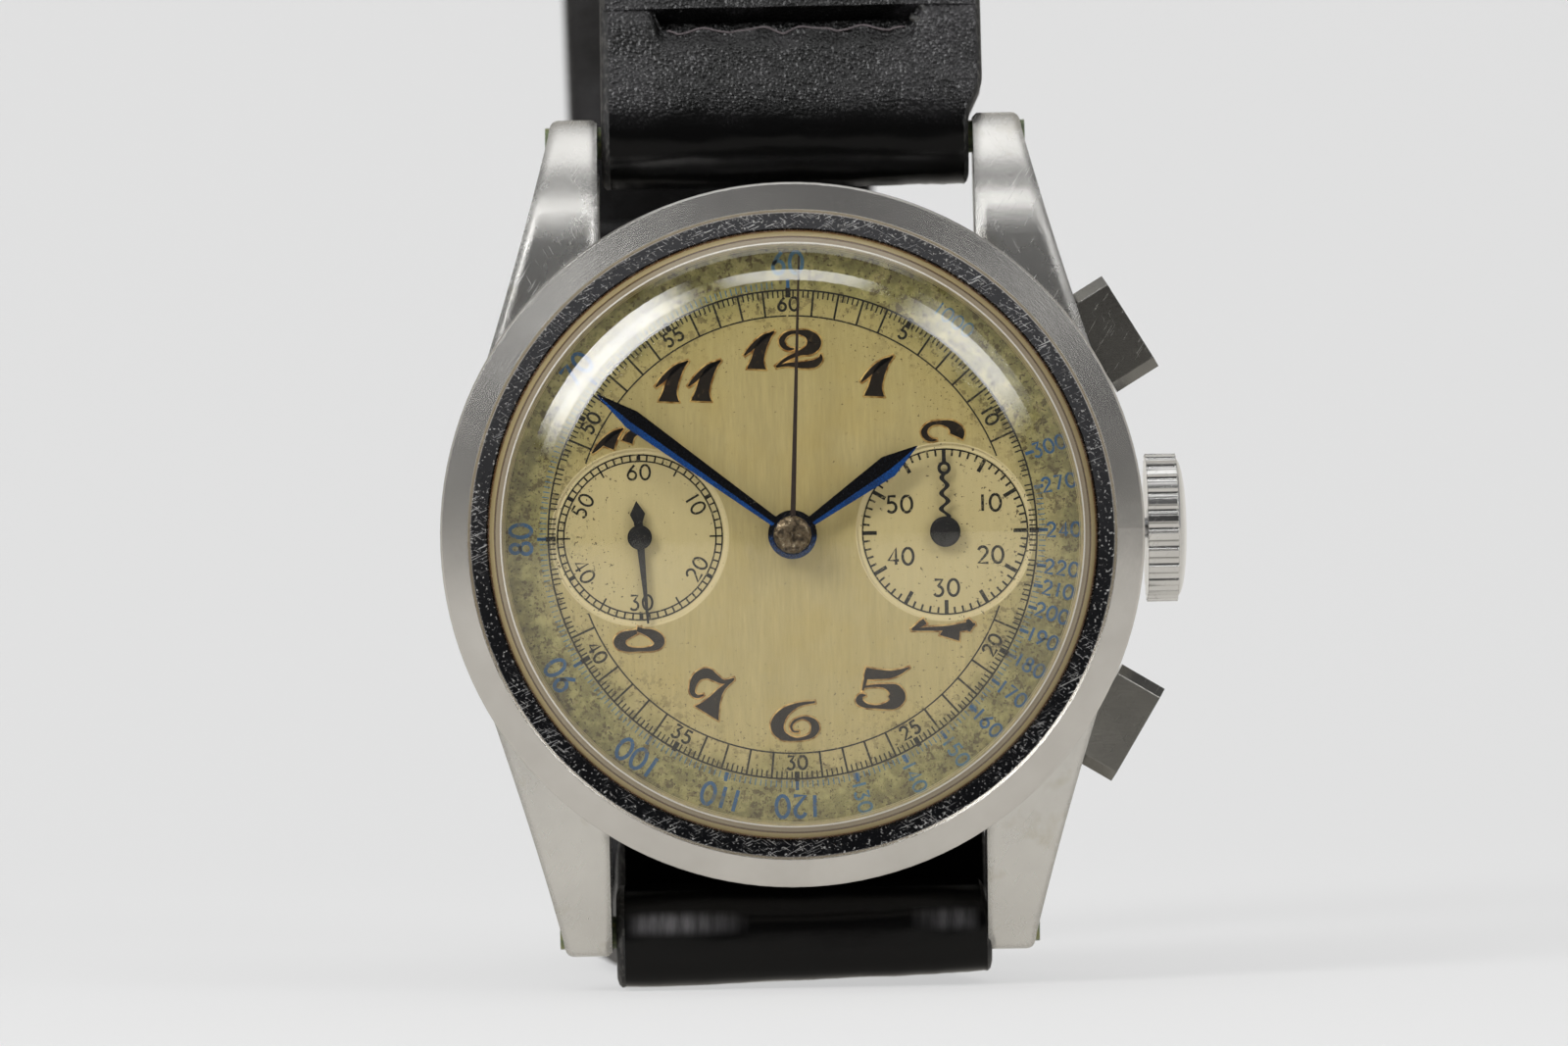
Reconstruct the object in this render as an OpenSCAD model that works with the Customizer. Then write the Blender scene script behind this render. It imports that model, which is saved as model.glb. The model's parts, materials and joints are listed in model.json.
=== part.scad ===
// Two-register chronograph wristwatch: screw back, front bezel, fixed lug bars and a buckled leather strap.
// Row frame: +X to 3 o'clock, +Z to 12 o'clock, -Y out of the dial. Origin: centre of the back's flat face.
// The head is drawn dial up ("bench" axes: x to 3, y to 12, z out of the dial) and stood up by upright().

/* [Case] */
// Outer diameter of the bezel
bezel_d = 34.5; // [34:0.1:35]
// Clear width between the lugs
lug_gap = 18.6; // [18.4:0.1:18.8]
// Distance between the two lug bars
bar_span = 39.2; // [39:0.1:39.6]
// Diameter of the fixed lug bars
bar_d = 1.6; // [1.4:0.1:1.7]

/* [Controls] */
// Diameter of the crown
crown_d = 7.3; // [6.8:0.1:7.5]
// Number of flutes round the crown
crown_flutes = 26; // [20:1:30]
// Angle of each pusher above and below the crown
pusher_angle = 31.2; // [30.5:0.1:32]
// Length of each rectangular pusher head, along the case edge
pusher_len = 5.25; // [4.8:0.05:5.4]

/* [Hands] */
// Angle of the hour hand, clockwise from 12
hour_angle = 55.7; // [50:0.1:60]
// Angle of the minute hand, clockwise from 12
minute_angle = 306.7; // [300:0.1:310]
// Angle of the chronograph seconds hand, clockwise from 12
chrono_angle = 2.6; // [0:0.1:4]
// Angle of the running seconds hand, clockwise from its own 60
seconds_angle = 175.5; // [170:0.1:180]
// Length of the minute hand from its axis
minute_len = 11.8; // [11:0.1:12]
// Length of the hour hand from its axis
hour_len = 7.5; // [7:0.1:7.8]
// Length of the chronograph seconds hand from its axis
chrono_len = 13.65; // [13:0.05:13.8]
// Length of the running seconds hand from its axis
small_hand_len = 4.25; // [3.9:0.05:4.25]

/* [Strap] */
// Width of the strap between the lugs
strap_w = 18.2; // [17.8:0.1:18.3]
// Width of the strap at the buckle
strap_end_w = 16; // [15.6:0.1:16.2]
// Radius of the upper bend of the buckled loop
loop_r = 19; // [19:0.1:19.2]
// Sideways drift of the back of the loop
drift = 3.4; // [3:0.1:4]

/* [Hidden] */
$fn = 72;
eps = 0.01; // a hair of overlap between solids that join

// Case stack, heights above the back's flat face
bezel_r = bezel_d / 2;
back_flange_z = 0.9;
back_top = 1.5;
seat_z = 7.2; // where the bezel sits on the case middle
bezel_top = 9.35;
crystal_seat = 8.4;
crystal_edge = 9.4;
crystal_top = 13.4;
case_r = 16.9;
bore_r = 14.2;
dial_r = 14.3;
dial_back = 6.8;
dial_top = 7.2;
crystal_r = 14.9;
crystal_wall = 0.8;

// Lugs
lug_tip_y = 20.7;
lug_tip_w = 2.25;
bar_y = bar_span / 2;
bar_z = 1.9;
bar_r = bar_d / 2;
bar_proud = 0.35;

// Controls
stem_z = 4.6;
crown_r = crown_d / 2;
crown_in = 17.45;
crown_out = 18.95;
pusher_in = 17.3;
pusher_out = 19.7;
pusher_depth = 2.5;
pusher_travel = 0.8;
pusher_seat = pusher_in - pusher_travel - 0.1; // bottom of the pocket that each pusher's head sinks into
pusher_stem_r = 0.55;
tube_r = 0.95;

// Movement stack
plate_z0 = 5.0;
plate_r = 13.4;
bridge_z0 = 3.05;
bridge_z1 = 3.65;
wall_r = 11.9; // inner radius of the bridges' feet
ratchet_z = 2.7;
chrono_z = 2.2; // plane of the chronograph wheels
cam_z = 1.7; // plane of the heart cams and hammer

// Teeth and modules of the going train, the motion work and the winding work
centre_teeth = 80; third_leaves = 10; third_teeth = 75; fourth_leaves = 10;
fourth_teeth = 80; escape_leaves = 8; escape_teeth = 15;
barrel_teeth = 78; centre_leaves = 12;
m_barrel = 0.13; m_centre = 0.105; m_third = 0.1; m_fourth = 0.08; m_motion = 0.1;
cannon_leaves = 10; minute_teeth = 30; minute_leaves = 8; hour_teeth = 32;
crown_wheel_teeth = 30; ratchet_teeth = 36; pinion_teeth = 14;
chrono_teeth = 116; coupling_teeth = 48; m_chrono = 0.05;
minute_recorder_teeth = 60;

// Where the arbors stand, seen from the dial side
register_x = 7.5;
centre = [0, 0];
fourth = [-register_x, 0];
recorder = [register_x, 0];
function pitch_dist(a, b, m) = (a + b) * m / 2;
// The point at distance a from p and b from q, on the side given by the sign of s
function apex(p, q, a, b, s) = let (d = norm(q - p), u = (q - p) / d, x = (a * a - b * b + d * d) / (2 * d))
    p + x * u + s * sqrt(a * a - x * x) * [-u[1], u[0]];
third = apex(centre, fourth, pitch_dist(centre_teeth, third_leaves, m_centre),
    pitch_dist(third_teeth, fourth_leaves, m_third), -1);
escape = fourth + pitch_dist(fourth_teeth, escape_leaves, m_fourth) * [cos(260), sin(260)];
balance = [-3.0, -8.2];
line_of_centres = (balance - escape) / norm(balance - escape);
pallet = escape + 2.75 * line_of_centres;
barrel = pitch_dist(barrel_teeth, centre_leaves, m_barrel) * [cos(60), sin(60)];
m_winding = 2 * norm(barrel - recorder) / (crown_wheel_teeth + ratchet_teeth);
minute_arbor = 2 * [cos(-55), sin(-55)];
coupling_gap = 0.15; // how far the coupling wheel stands off the runner when stopped
coupling = apex(fourth, centre, pitch_dist(chrono_teeth, coupling_teeth, m_chrono),
    pitch_dist(chrono_teeth, coupling_teeth, m_chrono) + coupling_gap, 1);
column = [8.1, 7.9];
operating_pivot = [11.6, 2.3];
click_pivot = barrel + 5.1 * [cos(132), sin(132)];
hammer_pivot = [5.5, -9.3];
cock_foot = [1.7, -12.0];
screws = [[5.5, 11.3], [-2.6, 12.3], [-12.3, 2.5], [6.4, -10.8]];
chrono_posts = [[1.6, -5.3], [11.5, -2.6], [-1.6, 4.3]];

// ---------- shared shapes ----------
module upright() { rotate([90, 0, 0]) children(); }
module at(p, z = 0) { translate([p[0], p[1], z]) children(); }
module disc(r, z0, z1) { translate([0, 0, z0]) cylinder(r = r, h = z1 - z0); }
module ring(r_out, r_in, z0, z1) {
    difference() {
        disc(r_out, z0, z1);
        disc(r_in, z0 - 1, z1 + 1);
    }
}
module slab(z0, z1) { translate([0, 0, z0]) linear_extrude(height = z1 - z0) children(); }
module turned(points) { rotate_extrude() polygon(points); }
// A flat bar with rounded ends from a to b
module bar2d(a, b, w) {
    t = atan2(b[1] - a[1], b[0] - a[0]);
    polygon(concat([for (i = [0:8]) let (k = t + 90 + 22.5 * i) a + w / 2 * [cos(k), sin(k)]],
        [for (i = [0:8]) let (k = t - 90 + 22.5 * i) b + w / 2 * [cos(k), sin(k)]]));
}
module along_x() { rotate([0, 90, 0]) children(); }

function bezier(a, b, c, n) = [for (i = [0:n]) let (t = i / n)
    (1 - t) * (1 - t) * a + 2 * t * (1 - t) * b + t * t * c];
function ease(t) = let (u = min(1, max(0, t))) u * u * (3 - 2 * u);

// ---------- gears ----------
tooth_shape = [-0.29, -0.12, 0.12, 0.29]; // shares of the pitch where a tooth starts, tops and ends
function gear_points(teeth, m) = [for (i = [0:teeth - 1], k = [0:3])
    let (r = teeth * m / 2 + (k == 1 || k == 2 ? 0.85 : -1.1) * m, a = (i + tooth_shape[k]) * 360 / teeth)
    r * [cos(a), sin(a)]];
// Turn of gear b, so that its gap meets gear a's tooth on the line at angle theta from a to b
function mesh_turn(a_teeth, a_turn, b_teeth, theta) =
    theta + 180 - a_teeth / b_teeth * (a_turn - theta) - 180 / b_teeth;
function direction(p, q) = atan2(q[1] - p[1], q[0] - p[0]);
module gear(teeth, m, z0, z1, turn = 0) {
    slab(z0, z1) rotate(turn) polygon(gear_points(teeth, m));
}
// A train wheel: a toothed rim on spokes round a hub
module wheel(teeth, m, z0, z1, turn, hub_r, spokes = 4) {
    rim = teeth * m / 2 - 1.1 * m - 0.3;
    difference() {
        gear(teeth, m, z0, z1, turn);
        slab(z0 - 1, z1 + 1) difference() {
            circle(r = rim);
            circle(r = hub_r);
            for (i = [0:spokes - 1]) rotate(turn + i * 360 / spokes)
                translate([0, -0.17]) square([rim + 1, 0.34]);
        }
    }
}
// A strip wound as a flat spiral
function spiral(r0, r1, turns, steps, side) = [for (i = [0:turns * steps]) let (a = i * 360 / steps)
    (r0 + (r1 - r0) * i / (turns * steps) + side) * [cos(a), sin(a)]];
module spiral_strip(r0, r1, turns, steps, t) {
    inner = spiral(r0, r1, turns, steps, -t / 2);
    outer = spiral(r0, r1, turns, steps, t / 2);
    last = len(outer) - 1;
    polygon(concat(inner, [for (i = [0:last]) outer[last - i]]));
}

// Turns of the gears at rest, worked out along each train from the centre wheel
third_turn = mesh_turn(centre_teeth, 0, third_leaves, direction(centre, third));
fourth_turn = mesh_turn(third_teeth, third_turn, fourth_leaves, direction(third, fourth));
escape_turn = mesh_turn(fourth_teeth, fourth_turn, escape_leaves, direction(fourth, escape));
barrel_turn = mesh_turn(centre_leaves, 0, barrel_teeth, direction(centre, barrel));
minute_turn = mesh_turn(cannon_leaves, 0, minute_teeth, direction(centre, minute_arbor));
hour_turn = mesh_turn(minute_leaves, minute_turn, hour_teeth, direction(minute_arbor, centre));
ratchet_turn = mesh_turn(crown_wheel_teeth, 0, ratchet_teeth, direction(recorder, barrel));
coupling_turn = mesh_turn(chrono_teeth, 0, coupling_teeth, direction(fourth, coupling));

// ---------- case ----------
function lug_outline() = concat(
    [[lug_gap / 2, 11], [lug_gap / 2, lug_tip_y - 0.2], [lug_gap / 2 + 0.2, lug_tip_y]],
    bezier([lug_gap / 2 + lug_tip_w - 0.35, lug_tip_y], [lug_gap / 2 + lug_tip_w, lug_tip_y],
        [lug_gap / 2 + lug_tip_w + 0.1, lug_tip_y - 0.45], 4),
    bezier([lug_gap / 2 + lug_tip_w + 0.15, lug_tip_y - 0.8], [12.85, 14.9], [15.6, 6.6], 10),
    [[12, 6.6]]);
function lug_side() = concat(
    bezier([5, 6.9], [17.4, 7.2], [lug_tip_y - 0.1, 3.7], 16),
    bezier([lug_tip_y + 0.15, 3.2], [lug_tip_y + 0.15, 0.6], [lug_tip_y - 0.9, 0.35], 6),
    [[17.5, 0.55], [15.5, 1.2], [5, 1.6]]);
module lug() {
    intersection() {
        slab(0, 8) polygon(lug_outline());
        rotate([90, 0, 90]) translate([0, 0, 5]) linear_extrude(height = 12) polygon(lug_side());
    }
}
module case_hole(angle, r) { rotate(angle) translate([10, 0, stem_z]) along_x() cylinder(r = r, h = 10); }
module case_middle() {
    color("silver") upright() difference() {
        union() {
            turned([[14.55, back_top], [16.2, back_top], [case_r, 2.4], [case_r, 6.8], [case_r - 0.1, seat_z],
                [16.2, seat_z], [16.2, 8.1], [14.6, 8.1], [14.6, 6.75], [bore_r, 6.75], [bore_r, 3.1],
                [14.55, 3.1]]);
            difference() {
                for (sx = [0, 1], sy = [0, 1]) mirror([sx, 0, 0]) mirror([0, sy, 0]) lug();
                disc(15.6, -1, 9);
            }
        }
        for (s = [-1, 1]) translate([-20, s * bar_y, bar_z]) along_x() cylinder(r = bar_r, h = 40);
        for (a = [0, pusher_angle, -pusher_angle]) case_hole(a, tube_r);
        for (a = [pusher_angle, -pusher_angle]) rotate(a)
            translate([pusher_seat, -pusher_len / 2 - 0.12, stem_z - pusher_depth / 2 - 0.12])
                cube([5, pusher_len + 0.24, pusher_depth + 0.24]);
    }
}
module lug_bars() {
    reach = lug_gap / 2 + lug_tip_w + bar_proud;
    color("darkkhaki") upright()
        for (s = [-1, 1]) translate([-reach, s * bar_y, bar_z]) along_x() cylinder(r = bar_r, h = 2 * reach);
}
module bezel() {
    color("gainsboro") upright() turned([[16.3, seat_z], [bezel_r - 0.1, seat_z], [bezel_r, seat_z + 0.12],
        [bezel_r, 8.92], [bezel_r - 0.1, 9.05], [15.9, bezel_top], [15.76, bezel_top - 0.08],
        [14.98, 9.22], [14.95, 9.17], [14.95, crystal_seat - 0.05], [14.65, crystal_seat - 0.05],
        [14.65, 8.2], [16.3, 8.2]]);
}
dome_power = 2.3; // 2 is an ellipse; higher is flatter on top and rounder at the shoulder
function dome(r, edge, rise, edge_r) = edge + rise * sqrt(max(0, 1 - pow(r / edge_r, dome_power)));
module crystal() {
    n = 24;
    rise = crystal_top - crystal_edge;
    inner_r = crystal_r - crystal_wall;
    color([0.9, 0.93, 0.95, 0.4]) upright() turned(concat(
        [[crystal_r, crystal_seat]],
        [for (i = [0:n]) let (r = crystal_r * cos(90 * i / n)) [r, dome(r, crystal_edge, rise, crystal_r)]],
        [for (i = [0:n]) let (r = inner_r * sin(90 * i / n))
            [r, dome(r, crystal_edge - 0.3, rise - 0.5, inner_r)]],
        [[inner_r, crystal_seat]]));
}
module reflector_ring() {
    color("tan") upright() turned([[14.1, dial_top], [14.55, dial_top], [14.55, 8.3], [14.2, 8.3]]);
}
module case_back() {
    color("silver") upright() difference() {
        union() {
            rotate(18) cylinder(r = 14.2, h = back_flange_z, $fn = 10);
            turned([[0, back_flange_z - 0.3], [14.6, back_flange_z - 0.3], [15.4, back_flange_z],
                [15.4, back_top], [0, back_top]]);
            disc(14.5, back_top, 3.0);
        }
        disc(13.7, 0.8, 4);
    }
}
module case_back_gasket() {
    color("dimgray") upright() ring(14.54, 14.22, 3.01, 3.09);
}
module movement_ring() {
    color("goldenrod") upright() difference() {
        ring(bore_r - 0.03, plate_r + 0.03, 3.9, 6.7);
        for (a = [0, pusher_angle, -pusher_angle]) case_hole(a, tube_r);
    }
}
module case_tubes() {
    color("silver") upright() for (a = [0, pusher_angle, -pusher_angle]) rotate(a)
        translate([14.3, 0, stem_z]) along_x() difference() {
            cylinder(r = tube_r, h = (a == 0 ? crown_in - 0.15 : pusher_seat) - 14.3);
            translate([0, 0, -1]) cylinder(r = pusher_stem_r + 0.05, h = 10);
        }
}

// ---------- controls ----------
module crown() {
    h = crown_out - crown_in;
    color("lightgray") upright() translate([crown_in, 0, stem_z]) along_x() {
        difference() {
            union() {
                cylinder(r = crown_r, h = h);
                translate([0, 0, h]) turned([for (i = [0:10]) let (a = 90 * i / 10)
                    [(crown_r - 0.25) * cos(a), 0.5 * sin(a)], [0, 0]]);
            }
            for (i = [0:crown_flutes - 1]) rotate(i * 360 / crown_flutes)
                translate([crown_r + 0.12, 0, -1]) cylinder(r = 0.3, h = h + 1.02);
            translate([0, 0, -1]) cylinder(r = 0.5, h = 2);
        }
    }
}
module winding_stem() {
    color("gray") upright() translate([0, 0, stem_z]) {
        translate([11.3, 0, 0]) along_x() cylinder(r = 0.5, h = crown_in + 1 - 11.3);
        translate([8.35, -0.3, -0.3]) cube([3.5, 0.6, 0.6]);
    }
}
// A rectangular head with chamfered ends on a round stem
module pusher(angle) {
    l = pusher_len / 2;
    d = pusher_depth / 2;
    c = 0.5;
    color("silver") upright() rotate(angle) translate([0, 0, stem_z]) {
        difference() {
            translate([pusher_in, 0, 0]) along_x() linear_extrude(height = pusher_out - pusher_in)
                polygon([[-d, -l + c], [-d, l - c], [-d + c, l], [d - c, l], [d, l - c], [d, -l + c],
                    [d - c, -l], [-d + c, -l]]);
            translate([pusher_out, 0, 0]) rotate([0, 45, 0]) cube([0.3, 9, 0.3], center = true);
        }
        translate([13.15, 0, 0]) along_x() cylinder(r = pusher_stem_r, h = pusher_in - 13.15 + 0.2);
    }
}
module start_pusher() { pusher(pusher_angle); }
module reset_pusher() { pusher(-pusher_angle); }
module pusher_spring(angle) {
    color("slategray") upright() rotate(angle) translate([13.45, 0, stem_z]) along_x()
        for (i = [0:3]) translate([0, 0, i * 0.2]) ring(0.9, 0.62, 0, 0.12);
}
module start_pusher_spring() { pusher_spring(pusher_angle); }
module reset_pusher_spring() { pusher_spring(-pusher_angle); }

// ---------- dial and hands ----------
register_r = 4.33;
register_depth = 0.12;
module dial() {
    color("palegoldenrod") upright() difference() {
        disc(dial_r, dial_back, dial_top);
        for (c = [fourth, recorder]) at(c) {
            disc(register_r, dial_top - register_depth, 9);
            disc(0.4, 0, 9);
        }
        disc(0.85, 0, 9);
    }
}
module hand_at(angle, c) { upright() at(c) rotate(-angle) children(); }
module sword(length, w_base, w_wide, wide_at) {
    polygon([[-w_base / 2, 0], [-w_wide / 2, wide_at], [-w_wide / 3, wide_at + 0.45], [0, length],
        [w_wide / 3, wide_at + 0.45], [w_wide / 2, wide_at], [w_base / 2, 0]]);
}
module hour_hand() {
    color("midnightblue") hand_at(hour_angle, centre) difference() {
        union() {
            disc(1.2, 8.0, 8.18);
            slab(8.0, 8.18) sword(hour_len, 0.5, 1.12, hour_len - 1.75);
        }
        disc(0.6, 7, 9);
    }
}
module minute_hand() {
    color("midnightblue") hand_at(minute_angle, centre) difference() {
        union() {
            disc(1.1, 8.45, 8.62);
            slab(8.45, 8.62) sword(minute_len, 0.46, 0.95, minute_len - 2.1);
        }
        disc(0.42, 7, 9);
    }
}
module chrono_seconds_hand() {
    color("dimgray") {
        hand_at(chrono_angle, centre) difference() {
            slab(8.9, 9.02) polygon([[-0.13, 0], [-0.05, chrono_len], [0.05, chrono_len], [0.13, 0]]);
            disc(0.3, 8, 10);
        }
        upright() ring(0.93, 0.15, 8.85, 9.3);
    }
}
module running_seconds_hand() {
    color("black") {
        hand_at(seconds_angle, fourth) difference() {
            slab(7.35, 7.47) polygon([[-0.2, 0], [-0.05, small_hand_len], [0.05, small_hand_len], [0.2, 0],
                [0.22, -0.75], [0.38, -1.15], [0, -1.8], [-0.38, -1.15], [-0.22, -0.75]]);
            disc(0.3, 7, 8);
        }
        upright() at(fourth) ring(0.6, 0.13, 7.3, 7.6);
    }
}
// The wavy shaft, the eye and the point of the minute counter's hand
wave_len = 2.3;
function wave(side, n) = [for (i = [0:n]) let (y = 0.55 + wave_len * i / n, a = 3 * 360 * i / n)
    [0.2 * sin(a) * (1 - 0.4 * i / n) + side, y]];
module minute_counter_hand() {
    n = 36;
    eye_y = wave_len + 0.55 + 0.27;
    right = wave(0.12, n);
    color("black") {
        hand_at(0, recorder) difference() {
            union() {
                slab(7.35, 7.47) polygon(concat(wave(-0.12, n), [for (i = [0:n]) right[n - i]]));
                translate([0, eye_y, 0]) disc(0.33, 7.35, 7.47);
                slab(7.35, 7.47) polygon([[-0.12, eye_y + 0.2], [-0.05, small_hand_len - 0.2],
                    [0.05, small_hand_len - 0.2], [0.12, eye_y + 0.2]]);
            }
            translate([0, eye_y, 0]) disc(0.17, 7, 8);
        }
        upright() at(recorder) ring(0.74, 0.13, 7.3, 7.6);
    }
}

// ---------- plates, bridges and their furniture ----------
module main_plate() {
    color("khaki") upright() difference() {
        disc(plate_r, plate_z0, dial_back);
        slab(6.0, 9) { circle(r = 2.6); at(minute_arbor) circle(r = 2.2); }
        at(barrel) disc(5.35, 0, 5.5);
        at(balance) disc(4.6, 0, 5.06);
        for (p = [third, escape, pallet, balance]) at(p) disc(0.13, 0, 5.7);
        for (p = [fourth, recorder]) at(p) disc(0.3, 0, 9);
        at(barrel) disc(0.62, 0, 6.1);
        at(minute_arbor) disc(0.16, 5.5, 7);
        disc(0.34, 0, 9);
        translate([8, -1.65, 0]) cube([6, 3.3, 6.2]);
        for (s = screws) at(s) disc(0.36, 0, 6.4);
        at(cock_foot) disc(0.36, 0, 6.4);
        for (a = [pusher_angle, -pusher_angle]) case_hole(a, tube_r + 0.05);
    }
}
bridge_split = [[-9, 13.5], [-4.5, 5], [-1.2, 1.6], [3.4, 0.4], [3.4, -5], [9.2, -13.5]];
module bridge_half(side) {
    gap = 0.08 * side;
    polygon(concat([for (p = bridge_split) p + [gap, gap]], side > 0 ? [[20, -13.5], [20, 20], [-9, 20]]
        : [[-20, -13.5], [-20, 13.5]]));
}
// One half of the upper plate: a top and an outer foot, with the balance, stem and pushers left clear
module bridge(side) {
    difference() {
        intersection() {
            union() {
                disc(plate_r - 0.2, bridge_z0, bridge_z1);
                ring(plate_r - 0.2, wall_r, bridge_z1, plate_z0);
            }
            slab(0, 9) bridge_half(side);
        }
        at(balance) disc(4.75, 0, 9);
        at(cock_foot) disc(1.3, 0, 9);
        translate([8, -1.75, 0]) cube([6, 3.5, 9]);
        for (s = screws) at(s) disc(0.36, 0, 9);
        for (a = [pusher_angle, -pusher_angle]) {
            case_hole(a, tube_r + 0.1);
            rotate(a) translate([tab_r - 1.2, -0.9, 0]) cube([4, 1.8, 9]);
        }
    }
}
stud_r = 0.22;
module stud(p, z) { at(p) disc(stud_r, z, bridge_z0 + 0.1); }
module barrel_bridge() {
    color("gainsboro") upright() difference() {
        union() {
            bridge(1);
            stud(operating_pivot, 2.2);
            stud(column, 1.35);
            stud(click_pivot, 2.6);
        }
        at(barrel) disc(0.62, 0, 9);
        at(recorder) disc(1.2, 0, 9);
        for (p = [chrono_posts[1], chrono_posts[2]]) at(p) disc(0.36, 0, 9);
    }
}
module train_bridge() {
    color("gainsboro") upright() difference() {
        union() {
            bridge(-1);
            stud(hammer_pivot, 1.6);
        }
        at(centre) disc(0.5, 0, 9);
        at(balance + [2.4, -4.4]) disc(2.3, 0, 9);
        for (p = [third, fourth, escape]) at(p) disc(0.6, 0, 9);
        at(chrono_posts[0]) disc(0.36, 0, 9);
    }
}
module balance_cock() {
    color("gainsboro") upright() difference() {
        union() {
            slab(1.95, 2.55) {
                bar2d(balance, cock_foot, 2.0);
                at(balance) circle(r = 1.5);
                at(cock_foot) circle(r = 1.25);
            }
            at(cock_foot) disc(1.2, 2.5, plate_z0);
        }
        at(balance) disc(0.5, 0, 9);
        at(cock_foot) disc(0.36, 0, 9);
    }
}
module chronograph_bridge() {
    color("gainsboro") upright() difference() {
        union() {
            slab(1.05, 1.5) {
                bar2d(chrono_posts[0], centre, 1.7);
                bar2d(centre, chrono_posts[2], 1.7);
                bar2d(centre, recorder, 1.7);
                bar2d(recorder, chrono_posts[1], 1.4);
            }
            for (p = chrono_posts) at(p) disc(0.55, 1.4, bridge_z0);
            for (p = chrono_posts) at(p) disc(0.34, bridge_z0 - eps, bridge_z1);
        }
        for (p = [centre, recorder]) at(p) disc(0.3, 0, 9);
    }
}
// Every fixing screw of the movement: slotted heads on plain shanks
module movement_screw(p, z) {
    at(p) difference() {
        union() {
            disc(0.7, z - 0.35, z);
            disc(0.34, z - eps, 6.2);
        }
        translate([-1, -0.09, z - 0.45]) cube([2, 0.18, 0.25]);
    }
}
module bridge_screws() {
    color("steelblue") upright() {
        for (s = screws) movement_screw(s, bridge_z0);
        movement_screw(cock_foot, 1.95);
    }
}
// Pierced ruby bearings pressed into the bridges and the cock
module jewels() {
    color("crimson") upright() {
        for (p = [third, escape]) at(p) ring(0.6, 0.13, bridge_z0, bridge_z0 + 0.4);
        at(fourth) ring(0.6, 0.22, bridge_z0, bridge_z0 + 0.4);
        at(balance) ring(0.5, 0.13, 1.95, 2.35);
        at(centre) ring(0.3, 0.14, 1.1, 1.4);
        at(recorder) ring(0.3, 0.14, 1.1, 1.4);
    }
}

// ---------- power, going train and escapement ----------
module barrel_drum() {
    color("gold") upright() at(barrel) difference() {
        union() {
            disc(4.75, 4.36, 5.44);
            gear(barrel_teeth, m_barrel, 4.4, 4.7, barrel_turn);
        }
        disc(4.5, 4.5, 5.3);
        disc(0.62, 0, 9);
    }
}
module mainspring() {
    color("slategray") upright() at(barrel) slab(4.55, 5.25) spiral_strip(1.25, 4.3, 9, 24, 0.14);
}
module barrel_arbor() {
    color("gray") upright() at(barrel) {
        disc(0.6, ratchet_z + 0.3, 6.0);
        disc(1.1, 4.55, 5.25);
        translate([-0.4, -0.4, 2.5]) cube([0.8, 0.8, 0.6]);
    }
}
module ratchet_wheel() {
    color("silver") upright() at(barrel) difference() {
        gear(ratchet_teeth, m_winding, ratchet_z, ratchet_z + 0.3, ratchet_turn);
        translate([-0.4, -0.4, 2]) cube([0.8, 0.8, 2]);
    }
}
module crown_wheel() {
    color("silver") upright() at(recorder) difference() {
        union() {
            gear(crown_wheel_teeth, m_winding, ratchet_z, ratchet_z + 0.3);
            disc(1.15, ratchet_z, 3.6);
        }
        disc(0.55, 0, 9);
    }
}
module winding_pinion() {
    color("gray") upright() translate([0, 0, stem_z]) along_x() difference() {
        union() {
            gear(pinion_teeth, m_winding * 0.98, 10, 11.2);
            disc(0.95, 8.5, 9.9);
            disc(0.6, 9.85, 10.05);
        }
        translate([-0.31, -0.31, 8]) cube([0.62, 0.62, 4]);
    }
}
module centre_wheel() {
    color("gold") upright() difference() {
        union() {
            wheel(centre_teeth, m_centre, 3.8, 3.95, 0, 0.8);
            gear(centre_leaves, m_barrel, 4.4, 4.85);
            disc(0.45, 3.1, 4.4);
            disc(0.27, 3.1, 8.0);
        }
        disc(0.17, 0, 9);
    }
}
module third_wheel() {
    color("gold") upright() at(third) {
        wheel(third_teeth, m_third, 4.15, 4.3, third_turn, 0.6);
        gear(third_leaves, m_centre, 3.72, 4.15, third_turn);
        disc(0.3, 4.3, 4.6);
        disc(0.11, 3.1, 5.6);
    }
}
module fourth_wheel() {
    color("gold") upright() at(fourth) {
        wheel(fourth_teeth, m_fourth, 4.5, 4.65, fourth_turn, 0.6);
        gear(fourth_leaves, m_third, 4.05, 4.5, fourth_turn);
        disc(0.2, 1.6, 4.06);
        disc(0.2, 4.64, 7.0);
        disc(0.13, 6.9, 7.6);
    }
}
module driving_wheel() {
    color("gold") upright() at(fourth) difference() {
        union() {
            wheel(chrono_teeth, m_chrono, chrono_z, chrono_z + 0.15, 0, 0.6);
            disc(0.5, chrono_z + 0.1, 2.7);
        }
        disc(0.2, 0, 9);
    }
}
module escape_wheel() {
    r = 2.1;
    color("silver") upright() at(escape) {
        difference() {
            slab(3.85, 3.97) rotate(4) polygon([for (i = [0:escape_teeth - 1], k = [0:3])
                let (a = i * 360 / escape_teeth + [0, 3, 5, 20][k], q = [r - 0.55, r, r - 0.05, r - 0.55][k])
                q * [cos(a), sin(a)]]);
            slab(3, 5) difference() {
                circle(r = r - 0.75);
                circle(r = 0.45);
                for (i = [0:3]) rotate(i * 90) translate([0, -0.13]) square([r, 0.26]);
            }
        }
        gear(escape_leaves, m_fourth, 4.45, 4.8, escape_turn);
        disc(0.2, 3.9, 4.5);
        disc(0.11, 3.1, 5.6);
    }
}
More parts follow.
